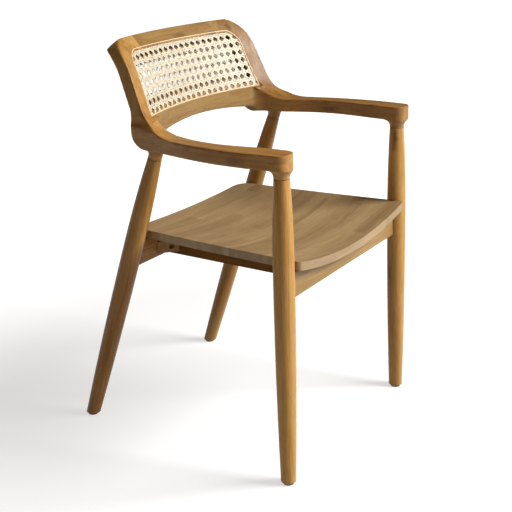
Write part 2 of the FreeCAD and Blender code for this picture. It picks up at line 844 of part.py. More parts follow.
def seat_screw(y, clearance):
    """Screw up through the left seat rail into the seat."""
    x = rail_outer_half_span - rail_thickness / 2
    share = (y - seat_front_y) / (seat_rear_y - seat_front_y)
    dip = seat_dip(share)
    underside = seat_edge_height - dip * (1 - (x / seat_half_width_front) ** 2) - seat_thickness
    start = vec(x, y, apron_bottom + screw_counterbore_depth)
    length = underside + screw_bite - start.z
    shank = Part.makeCylinder(screw_radius + clearance, length + clearance, start)
    head = Part.makeCylinder(screw_head_radius + clearance, screw_head_height + clearance, start)
    if clearance == 0:
        return joined([shank, head])
    way_in = Part.makeCylinder(screw_head_radius + clearance, screw_counterbore_depth + clearance * 2,
                               vec(x, y, apron_bottom - clearance))
    return joined([shank, head, way_in])


# Cane and its beading

def net_holes(low_height, top_height):
    """The open meshes of the cane, set in rows and columns inside the border."""
    mesh = []
    low = low_height + lip_width + net_edge_margin
    high = top_height - groove_width - net_edge_margin - net_hole_radius
    z = low + net_hole_radius + border_arch_rise
    while z < high:
        share = (z - low_height) / (top_height - low_height)
        half = border_half_width_low + (border_half_width_high - border_half_width_low) * share
        half = half - border_side_bow * 4 * share * (1 - share) - groove_width - net_edge_margin
        into_corner = z + net_hole_radius - (top_height - border_corner_radius)
        if into_corner > 0:
            chord = math.sqrt(max(border_corner_radius ** 2 - into_corner ** 2, 0))
            half = half - border_corner_radius + chord
        x = net_pitch_x / 2
        while x < half - net_hole_radius:
            for side in (x, -x):
                corners = []
                for turn in range(net_hole_sides):
                    angle = 2 * math.pi * turn / net_hole_sides
                    corners.append(vec(side + net_hole_radius * math.cos(angle), 0,
                                       z + net_hole_radius * math.sin(angle)))
                mesh.append(through_back(closed_lines(corners)))
            x = x + net_pitch_x
        z = z + net_pitch_z
    return Part.makeCompound(mesh)


def cane(region, near_depth, low_height, top_height):
    sheet = region.common(band(near_depth, near_depth + cane_thickness, full_curl))
    return sheet.cut(net_holes(low_height, top_height))


def spline_ring(low_height, top_height, near_depth, far_depth):
    ring = border(low_height, top_height, fit_gap).cut(border(low_height, top_height,
                                                              groove_width - fit_gap))
    return ring.common(band(near_depth, far_depth, full_curl))


# Make every piece

def build():
    front_leg_left = leg(front_axis, apron_tenon(front_axis, front_apron_y, fit_gap))
    rear_leg_left = leg(rear_axis, apron_tenon(rear_axis, rear_apron_face_y, fit_gap))

    outline = frame_outline()
    cutter = back_cutter()
    zone = post_zone()
    hole_radius = dowel_radius + fit_gap
    hole_length = dowel_length + fit_gap * 2
    seam_holes = arm_post_pins(hole_radius, hole_length)
    top_holes = top_rail_pins(hole_radius, hole_length)
    low_holes = lower_rail_pins(hole_radius, hole_length)

    arm_left = arm_blank().common(arm_plan()).common(outline).cut(zone)
    arm_left = arm_left.cut(cutter)
    arm_left = arm_left.cut(Part.makeCompound(seam_holes + low_holes + [leg_bore(front_axis),
                                                                       leg_bore(rear_axis)]))
    arm_left = main_solid(arm_left)

    post_sweep = turned_left(swept_profile(), band_half_angle * band_start_share, band_half_angle)
    post_left = post_sweep.common(zone).common(outline).cut(below_opening())
    post_left = post_left.cut(top_rail_zone()).cut(cutter)
    post_left = post_left.cut(Part.makeCompound(seam_holes + top_holes + low_holes))
    post_left = main_solid(post_left)

    top_blank = band(0, frame_thickness, top_angle)
    top_rail = top_blank.common(top_rail_zone()).cut(cutter)
    top_rail = top_rail.cut(Part.makeCompound(top_holes + [mirrored(h) for h in top_holes]))
    top_rail = main_solid(top_rail)

    low_rail = lower_rail().cut(cutter)
    low_rail = low_rail.cut(Part.makeCompound(low_holes + [mirrored(h) for h in low_holes]))
    low_rail = main_solid(low_rail)

    cane_front = cane(cane_front_region, cane_recess, border_low_height, border_top_front)
    cane_rear = cane(cane_rear_region, frame_thickness - rebate, border_low_rear, border_top_rear)
    spline_front = spline_ring(border_low_height, border_top_front, -spline_crown, spline_depth)
    spline_rear = spline_ring(border_low_rear, border_top_rear, frame_thickness - spline_depth,
                              frame_thickness + spline_crown)

    screw_places = [front_apron_rear_y + screw_end_distance, rear_apron_face_y - screw_end_distance]
    screw_holes = [seat_screw(y, screw_clearance) for y in screw_places]
    block_holes = [block_screw(front_apron_rear_y, 1, screw_clearance),
                   block_screw(rear_apron_face_y, -1, screw_clearance)]

    blank = seat_blank(False)
    seat_room = seat_blank(True)
    legs_room = [leg_turning(front_axis, seat_leg_gap),
                 leg_turning(rear_axis, seat_leg_gap)]
    legs_room = legs_room + [mirrored(room) for room in legs_room]
    all_screw_holes = screw_holes + [mirrored(hole) for hole in screw_holes]
    seat = blank.common(seat_plan()).cut(Part.makeCompound(legs_room + all_screw_holes))

    board_width = (seat_rear_y - seat_front_y) / seat_board_count
    boards = []
    for number in range(seat_board_count):
        low = vec(-overall_depth, seat_front_y + board_width * number, 0)
        high = vec(overall_depth, seat_front_y + board_width * (number + 1), back_height)
        boards.append(seat.common(box_between(low, high)))

    front_rail_mortise = rail_tenon(front_apron_rear_y, -1, fit_gap)
    rear_rail_mortise = rail_tenon(rear_apron_face_y, 1, fit_gap)
    front_holes = [front_rail_mortise, mirrored(front_rail_mortise), block_holes[0],
                   mirrored(block_holes[0])]
    rear_holes = [rear_rail_mortise, mirrored(rear_rail_mortise), block_holes[1],
                  mirrored(block_holes[1])]
    front_apron = apron(front_apron_y, front_axis, seat_room, front_holes)
    rear_apron = apron(rear_apron_face_y, rear_axis, seat_room, rear_holes)
    rail_left = seat_rail(seat_room, screw_holes)

    blocks = [glue_block(front_apron_rear_y, 1), glue_block(rear_apron_face_y, -1)]
    blocks = [block.cut(hole) for block, hole in zip(blocks, block_holes)]
    blocks = blocks + [mirrored(block) for block in blocks]
    block_screws = [block_screw(front_apron_rear_y, 1, 0), block_screw(rear_apron_face_y, -1, 0)]
    block_screws = block_screws + [mirrored(screw) for screw in block_screws]
    seat_screws = [seat_screw(y, 0) for y in screw_places]
    seat_screws = seat_screws + [mirrored(screw) for screw in seat_screws]

    seam_dowels = arm_post_pins(dowel_radius, dowel_length)
    top_dowels = top_rail_pins(dowel_radius, dowel_length)
    low_dowels = lower_rail_pins(dowel_radius, dowel_length)

    glides = [glide(front_axis), glide(rear_axis)]
    nails = [glide_nail(front_axis), glide_nail(rear_axis)]

    pieces = {
        "front_leg_left": front_leg_left,
        "front_leg_right": mirrored(front_leg_left),
        "rear_leg_left": rear_leg_left,
        "rear_leg_right": mirrored(rear_leg_left),
        "arm_left": arm_left,
        "arm_right": mirrored(arm_left),
        "back_post_left": post_left,
        "back_post_right": mirrored(post_left),
        "top_rail": top_rail,
        "lower_back_rail": low_rail,
        "cane_front": cane_front,
        "cane_rear": cane_rear,
        "cane_spline_front": spline_front,
        "cane_spline_rear": spline_rear,
        "front_apron": front_apron,
        "rear_apron": rear_apron,
        "seat_rail_left": rail_left,
        "seat_rail_right": mirrored(rail_left),
        "glue_blocks": Part.makeCompound(blocks),
        "glue_block_screws": Part.makeCompound(block_screws),
        "seat_screws": Part.makeCompound(seat_screws),
        "arm_post_dowels": Part.makeCompound(seam_dowels + [mirrored(d) for d in seam_dowels]),
        "top_rail_dowels": Part.makeCompound(top_dowels + [mirrored(d) for d in top_dowels]),
        "lower_rail_dowels": Part.makeCompound(low_dowels + [mirrored(d) for d in low_dowels]),
        "foot_glides": Part.makeCompound(glides + [mirrored(g) for g in glides]),
        "glide_nails": Part.makeCompound(nails + [mirrored(n) for n in nails]),
    }
    for number, board in enumerate(boards):
        pieces["seat_board_%d" % (number + 1)] = board
    return pieces


os.makedirs("parts", exist_ok=True)
for name, shape in build().items():
    if not shape.isValid():
        raise ValueError(name + " is not a valid shape")
    shape.exportStep("parts/" + name + ".step")
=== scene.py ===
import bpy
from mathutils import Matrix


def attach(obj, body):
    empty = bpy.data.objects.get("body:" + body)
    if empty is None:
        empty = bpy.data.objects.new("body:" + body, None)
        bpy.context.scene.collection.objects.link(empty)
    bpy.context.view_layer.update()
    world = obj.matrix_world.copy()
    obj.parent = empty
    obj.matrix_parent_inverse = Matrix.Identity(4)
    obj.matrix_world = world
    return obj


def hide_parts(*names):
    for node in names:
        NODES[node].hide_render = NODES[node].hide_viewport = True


bl_info = {
    "name": "Cane Back Armchair",
    "version": (1, 0, 0),
    "blender": (4, 5, 0),
    "location": "View3D > Sidebar > Chair",
    "description": "Dresses a wooden armchair with grain, woven cane and reed beading",
    "category": "Object",
}

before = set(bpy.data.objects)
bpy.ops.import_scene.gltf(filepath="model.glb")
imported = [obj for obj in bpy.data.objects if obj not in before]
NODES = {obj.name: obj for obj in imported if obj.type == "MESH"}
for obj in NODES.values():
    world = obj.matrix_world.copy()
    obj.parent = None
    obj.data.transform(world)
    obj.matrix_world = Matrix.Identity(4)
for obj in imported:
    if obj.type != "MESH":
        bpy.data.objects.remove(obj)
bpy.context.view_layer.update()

import math

import bpy
from bpy.props import FloatProperty, FloatVectorProperty, IntProperty, PointerProperty
from mathutils import Matrix, Vector
from mathutils.bvhtree import BVHTree

# Corners of a solid that lie this near to one another are one corner
MERGE_REACH = 0.00001
# Edges that turn by more than this are shaded as sharp
SHARP_ANGLE = math.radians(40)


# Sizes and colours a user would change

class ChairBack(bpy.types.PropertyGroup):
    """The shape of the back's front face, as the joiner set it out."""
    axis_y: FloatProperty(name="Bow axis", description="Where the axis of the back's bow stands",
                          default=-0.5275, unit="LENGTH")
    bow_radius: FloatProperty(name="Bow radius", description="Radius of the front face at arm height",
                              default=0.607, unit="LENGTH")
    arm_height: FloatProperty(name="Arm height", description="Top of the arms", default=0.665, unit="LENGTH")
    lean: FloatProperty(name="Lean", description="Backward lean of the back", default=math.radians(20),
                        subtype="ANGLE")
    curl_start: FloatProperty(name="Curl start", description="Height at which the back begins to curl",
                              default=0.775, unit="LENGTH")
    curl_radius: FloatProperty(name="Curl radius", description="Radius of the backward curl", default=0.170,
                               unit="LENGTH")
    thickness: FloatProperty(name="Frame thickness", description="Depth of the back frame", default=0.027,
                             unit="LENGTH")


class FrameShape(bpy.types.PropertyGroup):
    """How the glued-up arms and back are sanded, and where their joints run."""
    grit: FloatProperty(name="Grit", description="Size of the smallest detail that the sanding keeps",
                        default=0.0015, unit="LENGTH")
    passes: IntProperty(name="Passes", description="Passes of sanding that soften every edge", default=7,
                        min=0)
    corner_passes: IntProperty(name="Corner passes", description="Passes that blend arm, post and rail",
                               default=90, min=0)
    corner_reach: FloatProperty(name="Corner reach", description="How far the blended corner reaches",
                                default=0.045, unit="LENGTH")
    corner_height: FloatProperty(name="Corner height", description="Height of the blended corner's middle",
                                 default=0.668, unit="LENGTH")
    shoulder_x: FloatProperty(name="Shoulder", description="Upper corner's place, sideways", default=0.190,
                              unit="LENGTH")
    shoulder_run: FloatProperty(name="Shoulder run", description="Upper corner's place, up the back's face",
                                default=0.160, unit="LENGTH")
    guard: FloatProperty(name="Guard", description="Strip beside the reed and the legs that sanding spares",
                         default=0.004, unit="LENGTH")
    top_joint: FloatProperty(name="Top joint", description="Half span between the top rail's joints",
                             default=0.125, unit="LENGTH")
    rail_joint: FloatProperty(name="Rail joint", description="Half span between the lower rail's joints",
                              default=0.176, unit="LENGTH")
    rail_top: FloatProperty(name="Rail top", description="Height that the lower rail's ends reach",
                            default=0.7265, unit="LENGTH")
    seam_radius: FloatProperty(name="Seam radius", description="Arm and post's joint, from the bow's axis",
                               default=0.60608, unit="LENGTH")
    seam_height: FloatProperty(name="Seam height", description="Height of arm and post's joint",
                               default=0.687, unit="LENGTH")
    seam_x: FloatProperty(name="Seam place", description="Middle of arm and post's joint, sideways",
                          default=0.199, unit="LENGTH")
    seam_slope: FloatProperty(name="Seam slope", description="Slope of arm and post's joint",
                              default=math.radians(29), subtype="ANGLE")
    seam_room: FloatProperty(name="Seam room", description="Free way in front of arm and post's joint",
                             default=0.024, unit="LENGTH")


class CaneWork(bpy.types.PropertyGroup):
    """The woven cane and the reed that holds it."""
    half_low: FloatProperty(name="Half width below", description="Half width of the caned field at its foot",
                            default=0.193, unit="LENGTH")
    half_high: FloatProperty(name="Half width above", description="Half width of the caned field at its head",
                             default=0.185, unit="LENGTH")
    side_bow: FloatProperty(name="Side bow", description="How far the sides are hollowed", default=0.005,
                            unit="LENGTH")
    arch: FloatProperty(name="Foot arch", description="Rise of the lower border", default=0.001,
                        unit="LENGTH")
    corner: FloatProperty(name="Corner radius", description="Radius of the two upper corners", default=0.036,
                          unit="LENGTH")
    front_low: FloatProperty(name="Front foot", description="Lower border of the front panel", default=0.692,
                             unit="LENGTH")
    front_high: FloatProperty(name="Front head", description="Upper border of the front panel", default=0.818,
                              unit="LENGTH")
    rear_low: FloatProperty(name="Rear foot", description="Lower border of the rear panel", default=0.712,
                            unit="LENGTH")
    rear_high: FloatProperty(name="Rear head", description="Upper border of the rear panel", default=0.80193,
                             unit="LENGTH")
    groove: FloatProperty(name="Groove", description="Width of the reed's groove", default=0.0045,
                          unit="LENGTH")
    pitch: FloatProperty(name="Pitch", description="Distance from one open mesh to the next", default=0.018,
                         unit="LENGTH")
    strand: FloatProperty(name="Strand width", description="Width of one strand of cane", default=0.0026,
                          unit="LENGTH")
    gauge: FloatProperty(name="Strand thickness", description="Thickness of one strand", default=0.0005,
                         unit="LENGTH")
    steps: IntProperty(name="Steps", description="Sections of a strand from mesh to mesh", default=4, min=2)
    depth: FloatProperty(name="Depth", description="Depth of the cane's middle behind the wood",
                         default=0.0016, unit="LENGTH")


class ChairColours(bpy.types.PropertyGroup):
    """Colours of the finished surfaces."""
    wood_light: FloatVectorProperty(name="Wood, light", description="Pale grain of the frame",
                                    subtype="COLOR", size=3, default=(0.58, 0.325, 0.090), min=0, max=1)
    wood_dark: FloatVectorProperty(name="Wood, dark", description="Dark grain of the frame", subtype="COLOR",
                                   size=3, default=(0.29, 0.112, 0.010), min=0, max=1)
    seat_light: FloatVectorProperty(name="Seat, light", description="Pale staves of the seat",
                                    subtype="COLOR", size=3, default=(0.54, 0.365, 0.180), min=0, max=1)
    seat_dark: FloatVectorProperty(name="Seat, dark", description="Dark staves of the seat", subtype="COLOR",
                                   size=3, default=(0.235, 0.142, 0.056), min=0, max=1)
    cane: FloatVectorProperty(name="Cane", description="Woven cane", subtype="COLOR", size=3,
                              default=(0.64, 0.57, 0.43), min=0, max=1)
    reed: FloatVectorProperty(name="Reed", description="Beading round the cane", subtype="COLOR", size=3,
                              default=(0.78, 0.58, 0.36), min=0, max=1)


class ChairStage(bpy.types.PropertyGroup):
    """Camera, lamps, sky and floor."""
    lens: FloatProperty(name="Lens", description="Focal length on a 36 mm sensor", default=66.83)
    azimuth: FloatProperty(name="Azimuth", description="Camera's bearing round the chair",
                           default=math.radians(-55.2933), subtype="ANGLE")
    elevation: FloatProperty(name="Elevation", description="Camera's height over the chair, as an angle",
                             default=math.radians(19.8902), subtype="ANGLE")
    roll: FloatProperty(name="Roll", description="Camera's roll", default=math.radians(-2.3476),
                        subtype="ANGLE")
    distance: FloatProperty(name="Distance", description="Camera to the point it looks at", default=2.0634073,
                            unit="LENGTH")
    target: FloatVectorProperty(name="Target", description="Point the camera looks at", subtype="XYZ", size=3,
                                default=(0.0068154, -0.0380757, 0.359162))
    key: FloatProperty(name="Key", description="Power of the main soft lamp", default=160.0)
    key_size: FloatProperty(name="Key size", description="Side of the main lamp", default=1.4, unit="LENGTH")
    key_place: FloatVectorProperty(name="Key place", description="Where the main lamp hangs", subtype="XYZ",
                                   size=3, default=(1.1, -2.6, 2.3))
    fill: FloatProperty(name="Fill", description="Power of the filling lamp", default=1.0)
    fill_size: FloatProperty(name="Fill size", description="Side of the filling lamp", default=2.0,
                             unit="LENGTH")
    fill_place: FloatVectorProperty(name="Fill place", description="Where the filling lamp hangs",
                                    subtype="XYZ", size=3, default=(-2.4, -1.6, 1.8))
    lamp_aim: FloatVectorProperty(name="Lamp aim", description="Point the lamps look at", subtype="XYZ",
                                  size=3, default=(0.0, 0.0, 0.45))
    sky: FloatProperty(name="Sky", description="Strength of the even light all round", default=0.16)
    sky_colour: FloatVectorProperty(name="Sky colour", description="Colour of the even light",
                                    subtype="COLOR", size=3, default=(1.0, 0.86, 0.68), min=0, max=1)
    floor: FloatProperty(name="Floor", description="Paleness of the floor", default=0.5, min=0, max=1)
    floor_size: FloatProperty(name="Floor size", description="Side of the floor", default=60.0, unit="LENGTH")
    lift: FloatProperty(name="Lift", description="How far the shadow on the floor is lightened", default=0.62)
    shadow_reach: FloatProperty(name="Shadow reach",
                                description="Distance at which the shadow begins to fade", default=0.7,
                                unit="LENGTH")
    white_reach: FloatProperty(name="White reach", description="Distance past which the floor shows white",
                               default=1.5, unit="LENGTH")


# Small helpers for meshes and nodes

def clear_selection():
    """Leave nothing selected, so an operator acts only on what is chosen next."""
    if bpy.context.object and bpy.context.object.mode != "OBJECT":
        bpy.ops.object.mode_set(mode="OBJECT")
    bpy.ops.object.select_all(action="DESELECT")


def choose(*pieces):
    clear_selection()
    for piece in pieces:
        piece.select_set(True)
    bpy.context.view_layer.objects.active = pieces[0]


def apply_modifiers(piece):
    choose(piece)
    for modifier in list(piece.modifiers):
        bpy.ops.object.modifier_apply(modifier=modifier.name)


def joined(pieces, name):
    choose(*pieces)
    bpy.ops.object.join()
    piece = bpy.context.object
    piece.name = name
    piece.data.name = name
    return piece


def finished(piece, material, slot, *nodes):
    """Hand a modelled piece over: its material, the body it rides and the solids it stands for."""
    choose(piece)
    bpy.ops.object.transform_apply(location=True, rotation=True, scale=True)
    bpy.ops.object.shade_smooth_by_angle(angle=SHARP_ANGLE)
    piece.data.materials.clear()
    piece.data.materials.append(material)
    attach(piece, "root")
    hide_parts(*nodes)
    clear_selection()


# Places of the colour sockets on a mix node
MIX_FIRST = 6
MIX_SECOND = 7
MIX_RESULT = 2

# Samples of the shader's own edge rounding and of its painted shade in corners
ROUNDING_SAMPLES = 6
CORNER_SHADE_SAMPLES = 8

# Waves to a metre that make the knots' edges uneven
KNOT_WAVES = 60.0

# Ramps: low and high of what comes in, then what these become
CORNER_SHADE_RAMP = (0.25, 0.85)
KNOT_WAVE_RAMP = (0.3, 0.7, -0.05, 0.05)
KNOT_RAMP = (0.06, 0.22, 0.8, 0.0)


class Nodes:
    """A short way to build a material's node tree."""

    def __init__(self, name):
        self.material = bpy.data.materials.new(name)
        self.material.use_nodes = True
        self.tree = self.material.node_tree
        self.shader = self.tree.nodes["Principled BSDF"]
        self.place = self.tree.nodes.new("ShaderNodeTexCoord").outputs["Object"]

    def link(self, source, target):
        self.tree.links.new(source, target)

    def put(self, value, socket):
        if isinstance(value, bpy.types.NodeSocket):
            self.link(value, socket)
        else:
            socket.default_value = value

    def mapped(self, source, scale=(1, 1, 1), turn=(0, 0, 0), shift=(0, 0, 0)):
        node = self.tree.nodes.new("ShaderNodeMapping")
        self.link(source, node.inputs["Vector"])
        node.inputs["Scale"].default_value = scale
        node.inputs["Rotation"].default_value = turn
        node.inputs["Location"].default_value = shift
        return node.outputs["Vector"]

    def noise(self, source, scale, detail=3.0, roughness=0.5, distortion=0.0):
        node = self.tree.nodes.new("ShaderNodeTexNoise")
        self.link(source, node.inputs["Vector"])
        node.inputs["Scale"].default_value = scale
        node.inputs["Detail"].default_value = detail
        node.inputs["Roughness"].default_value = roughness
        node.inputs["Distortion"].default_value = distortion
        return node.outputs["Fac"]

    def grain(self, source, waves, detail, roughness, distortion=0.0):
        """Noise with its own number of waves to a metre along each axis."""
        return self.noise(self.mapped(source, waves), 1.0, detail, roughness, distortion)

    def ramp(self, source, low, high, low_becomes=0.0, high_becomes=1.0):
        node = self.tree.nodes.new("ShaderNodeMapRange")
        node.inputs["From Min"].default_value = low
        node.inputs["From Max"].default_value = high
        node.inputs["To Min"].default_value = low_becomes
        node.inputs["To Max"].default_value = high_becomes
        self.link(source, node.inputs["Value"])
        return node.outputs["Result"]

    def combine(self, kind, first, second):
        node = self.tree.nodes.new("ShaderNodeMath")
        node.operation = kind
        self.put(first, node.inputs[0])
        self.put(second, node.inputs[1])
        return node.outputs["Value"]

    def blend(self, share, first, second, kind="MIX"):
        node = self.tree.nodes.new("ShaderNodeMix")
        node.data_type = "RGBA"
        node.blend_type = kind
        self.put(share, node.inputs["Factor"])
        self.put(first, node.inputs[MIX_FIRST])
        self.put(second, node.inputs[MIX_SECOND])
        return node.outputs[MIX_RESULT]

    def knots(self, source, scale):
        """Scattered dark spots, drawn out along the grain."""
        node = self.tree.nodes.new("ShaderNodeTexVoronoi")
        node.inputs["Scale"].default_value = 1.0
        self.link(self.mapped(source, scale), node.inputs["Vector"])
        wave = self.ramp(self.noise(source, KNOT_WAVES), *KNOT_WAVE_RAMP)
        return self.ramp(self.combine("ADD", node.outputs["Distance"], wave), *KNOT_RAMP)

    def painted_corner_shade(self, reach, darkest):
        """Painted shade: a factor that is 1 on open faces and falls to darkest where nearby geometry hides a
        point, in corners and behind the cane.
        """
        node = self.tree.nodes.new("ShaderNodeAmbientOcclusion")
        node.samples = CORNER_SHADE_SAMPLES
        node.inputs["Distance"].default_value = reach
        return self.ramp(node.outputs["AO"], *CORNER_SHADE_RAMP, darkest, 1.0)

    def bump(self, height, strength, distance, rounding=0.0):
        node = self.tree.nodes.new("ShaderNodeBump")
        node.inputs["Strength"].default_value = strength
        node.inputs["Distance"].default_value = distance
        self.link(height, node.inputs["Height"])
        if rounding:
            bevel = self.tree.nodes.new("ShaderNodeBevel")
            bevel.samples = ROUNDING_SAMPLES
            bevel.inputs["Radius"].default_value = rounding
            self.link(bevel.outputs["Normal"], node.inputs["Normal"])
        self.link(node.outputs["Normal"], self.shader.inputs["Normal"])


def rgba(colour, gain=1.0):
    return (colour[0] * gain, colour[1] * gain, colour[2] * gain, 1.0)


def stepped(step, number):
    """The pattern's place on the piece of that number."""
    return tuple(part * number for part in step)


# Wood

# Each grain: waves to a metre along it and across it, detail, roughness, distortion
BROAD_GRAIN = ((1.2, 9), 2.0, 0.5, 0.6)
STREAK_GRAIN = ((5, 90), 4.0, 0.6, 1.2)
FINE_GRAIN = ((22, 700), 2.0, 0.6)
PORE_GRAIN = ((55, 1500), 1.0, 0.5)
KNOT_CELLS = (8, 24)

# Ramps of the grains
BROAD_RAMP = (0.38, 0.62, 0.0, 0.55)
STREAK_RAMP = (0.34, 0.66, 0.0, 0.55)
FINE_RAMP = (0.35, 0.65, 0.0, 0.22)
PORE_RAMP = (0.62, 0.70)
WOOD_ROUGHNESS = (0.3, 0.7, 0.52, 0.42)

# Brightness of the grain's dark parts, as shares of the dark colour's, and how much the pores show
FINE_SHADE = 0.85
PORE_SHADE = 0.45
KNOT_SHADE = 0.5
PORE_SHARE = 0.35

# Radius that the shader gives to sharp edges, and reach of the painted shade in corners
EDGE_ROUNDING = 0.003
CORNER_SHADE_REACH = 0.014

# Relief of the fine grain against that of the pores, then strength and height of both
FINE_RELIEF = 0.5
WOOD_RELIEF = (0.25, 0.0004)

# Gloss under the seat, of the sanded pieces, of legs and aprons, and of the rest
HIDDEN_GLOSS = 0.1
SANDED_GLOSS = 0.45
TURNED_GLOSS = 0.34
PLAIN_GLOSS = 0.36

# Brightness that the painted shade leaves in the corners: behind the cane and under the seat, and elsewhere
DEEP_CORNER_SHADE = 0.1
SOFT_CORNER_SHADE = 0.55


def grain_scale(direction, along, across):
    """Stretch a pattern along the grain."""
    return tuple(along if axis == direction else across for axis in "XYZ")


def wood(name, direction, light, dark, turn=(0, 0, 0), shift=(0, 0, 0), gain=1.0, warmth=0.0,
         rounding=EDGE_ROUNDING, gloss=PLAIN_GLOSS, corner_shade=SOFT_CORNER_SHADE):
    """Oiled open-pored hardwood with its grain along one axis of the chair, or turned from it, and painted
    shade in its corners.
    """
    n = Nodes(name)
    place = n.mapped(n.place, turn=turn, shift=shift)

    def grain(waves, *character):
        return n.grain(place, grain_scale(direction, *waves), *character)

    broad = grain(*BROAD_GRAIN)
    streak = grain(*STREAK_GRAIN)
    fine = grain(*FINE_GRAIN)
    pore = n.ramp(grain(*PORE_GRAIN), *PORE_RAMP)
    share = n.combine("ADD", n.ramp(broad, *BROAD_RAMP), n.ramp(streak, *STREAK_RAMP))
    warm = (light[0] * (1 + warmth), light[1], light[2] * (1 - warmth))
    base = n.blend(share, rgba(dark, gain), rgba(warm, gain))
    grained = n.blend(n.ramp(fine, *FINE_RAMP), base, rgba(dark, gain * FINE_SHADE))
    pored = n.blend(n.combine("MULTIPLY", pore, PORE_SHARE), grained, rgba(dark, gain * PORE_SHADE))
    knots = n.knots(place, grain_scale(direction, *KNOT_CELLS))
    knotted = n.blend(knots, pored, rgba(dark, gain * KNOT_SHADE))
    # Painted shade: the colour is multiplied down in corners, behind the cane and under the seat
    shaded = n.blend(1.0, knotted, n.painted_corner_shade(CORNER_SHADE_REACH, corner_shade), "MULTIPLY")
    n.link(shaded, n.shader.inputs["Base Color"])
    n.link(n.ramp(streak, *WOOD_ROUGHNESS), n.shader.inputs["Roughness"])
    n.shader.inputs["Specular IOR Level"].default_value = gloss
    relief = n.combine("SUBTRACT", n.combine("MULTIPLY", fine, FINE_RELIEF), pore)
    n.bump(relief, *WOOD_RELIEF, rounding)
    return n.material


# The seat's staves, and how far each row is shifted against the last
STAVE_LENGTH = 0.21
STAVE_WIDTH = 0.0277
STAVE_SHIFT_SHARE = 0.37

# The seat's grain: waves to a metre along each axis, detail, roughness, distortion
SEAT_BROAD = ((3, 24, 3), 1.0, 0.5)
SEAT_STREAK = ((7, 110, 60), 4.0, 0.6, 1.0)
SEAT_FINE = ((26, 750, 300), 2.0, 0.6)
SEAT_BROAD_RAMP = (0.35, 0.65, 0.0, 0.34)
SEAT_STREAK_RAMP = (0.3, 0.7, 0.0, 0.30)
SEAT_FINE_RAMP = (0.35, 0.65, 0.0, 0.25)
SEAT_ROUGHNESS = (0.3, 0.7, 0.46, 0.36)

# Share of the tone that each stave has to itself, brightness of the fine grain, gloss and relief
STAVE_SHARE = 0.34
SEAT_SHADE = 0.8
SEAT_GLOSS = 0.45
SEAT_RELIEF = (0.2, 0.0003)


def seat_wood(name, light, dark, shift):
    """Boards glued up from narrow staves that run from side to side."""
    n = Nodes(name)
    place = n.mapped(n.place, shift=shift)
    flat = n.mapped(place, (1, 1, 0))
    brick = n.tree.nodes.new("ShaderNodeTexBrick")
    n.link(flat, brick.inputs["Vector"])
    brick.offset = STAVE_SHIFT_SHARE
    brick.inputs["Color1"].default_value = (0, 0, 0, 1)
    brick.inputs["Color2"].default_value = (1, 1, 1, 1)
    brick.inputs["Scale"].default_value = 1.0
    brick.inputs["Mortar Size"].default_value = 0.0
    brick.inputs["Brick Width"].default_value = STAVE_LENGTH
    brick.inputs["Row Height"].default_value = STAVE_WIDTH
    broad = n.grain(place, *SEAT_BROAD)
    streak = n.grain(place, *SEAT_STREAK)
    fine = n.grain(place, *SEAT_FINE)
    tone = n.combine("ADD", n.combine("MULTIPLY", brick.outputs["Color"], STAVE_SHARE),
                     n.ramp(broad, *SEAT_BROAD_RAMP))
    tone = n.combine("ADD", tone, n.ramp(streak, *SEAT_STREAK_RAMP))
    base = n.blend(tone, rgba(dark), rgba(light))
    grained = n.blend(n.ramp(fine, *SEAT_FINE_RAMP), base, rgba(dark, SEAT_SHADE))
    n.link(grained, n.shader.inputs["Base Color"])
    n.link(n.ramp(streak, *SEAT_ROUGHNESS), n.shader.inputs["Roughness"])
    n.shader.inputs["Specular IOR Level"].default_value = SEAT_GLOSS
    n.bump(fine, *SEAT_RELIEF)
    return n.material


# Hardware

GLIDE_COLOUR = (0.05, 0.035, 0.025)
GLIDE_ROUGHNESS = 0.5
STEEL_COLOUR = (0.55, 0.55, 0.56)
STEEL_ROUGHNESS = 0.35

# Mottling: waves to a metre and detail, how much it shows, how dark and how rough it gets
MOTTLE_NOISE = (300.0, 2.0)
MOTTLE_SHARE = 0.25
MOTTLE_SHADE = 0.7
MOTTLE_ROUGHNESS = 0.12
MIDDLE_OF_NOISE = (0.3, 0.7)


def plain_material(name, colour, roughness, metallic=0.0):
    """Small hidden hardware: a colour with a slight mottling."""
    n = Nodes(name)
    mottle = n.noise(n.place, *MOTTLE_NOISE)
    share = n.ramp(mottle, *MIDDLE_OF_NOISE, 0.0, MOTTLE_SHARE)
    n.link(n.blend(share, rgba(colour), rgba(colour, MOTTLE_SHADE)), n.shader.inputs["Base Color"])
    n.link(n.ramp(mottle, *MIDDLE_OF_NOISE, roughness, roughness + MOTTLE_ROUGHNESS),
           n.shader.inputs["Roughness"])
    n.shader.inputs["Metallic"].default_value = metallic
    return n.material


def dress(node, material):
    """Give a solid its finish in every slot."""
    mesh = NODES[node].data
    if not mesh.materials:
        mesh.materials.append(material)
    for index in range(len(mesh.materials)):
        mesh.materials[index] = material


# The back's face

def back_point(x, run, depth):
    """A point of the back frame: x across, run up its face from arm height, depth behind the face."""
    back = bpy.context.scene.chair_back
    straight = (back.curl_start - back.arm_height) / math.cos(back.lean)
    angle = back.lean + max(run - straight, 0) / back.curl_radius
    along = min(run, straight)
    radius = back.bow_radius + along * math.sin(back.lean)
    height = back.arm_height + along * math.cos(back.lean)
    radius += back.curl_radius * (math.cos(back.lean) - math.cos(angle))
    height += back.curl_radius * (math.sin(angle) - math.sin(back.lean))
    radius += depth * math.cos(angle)
    height -= depth * math.sin(angle)
    return Vector((x, back.axis_y + math.sqrt(radius ** 2 - x ** 2), height))
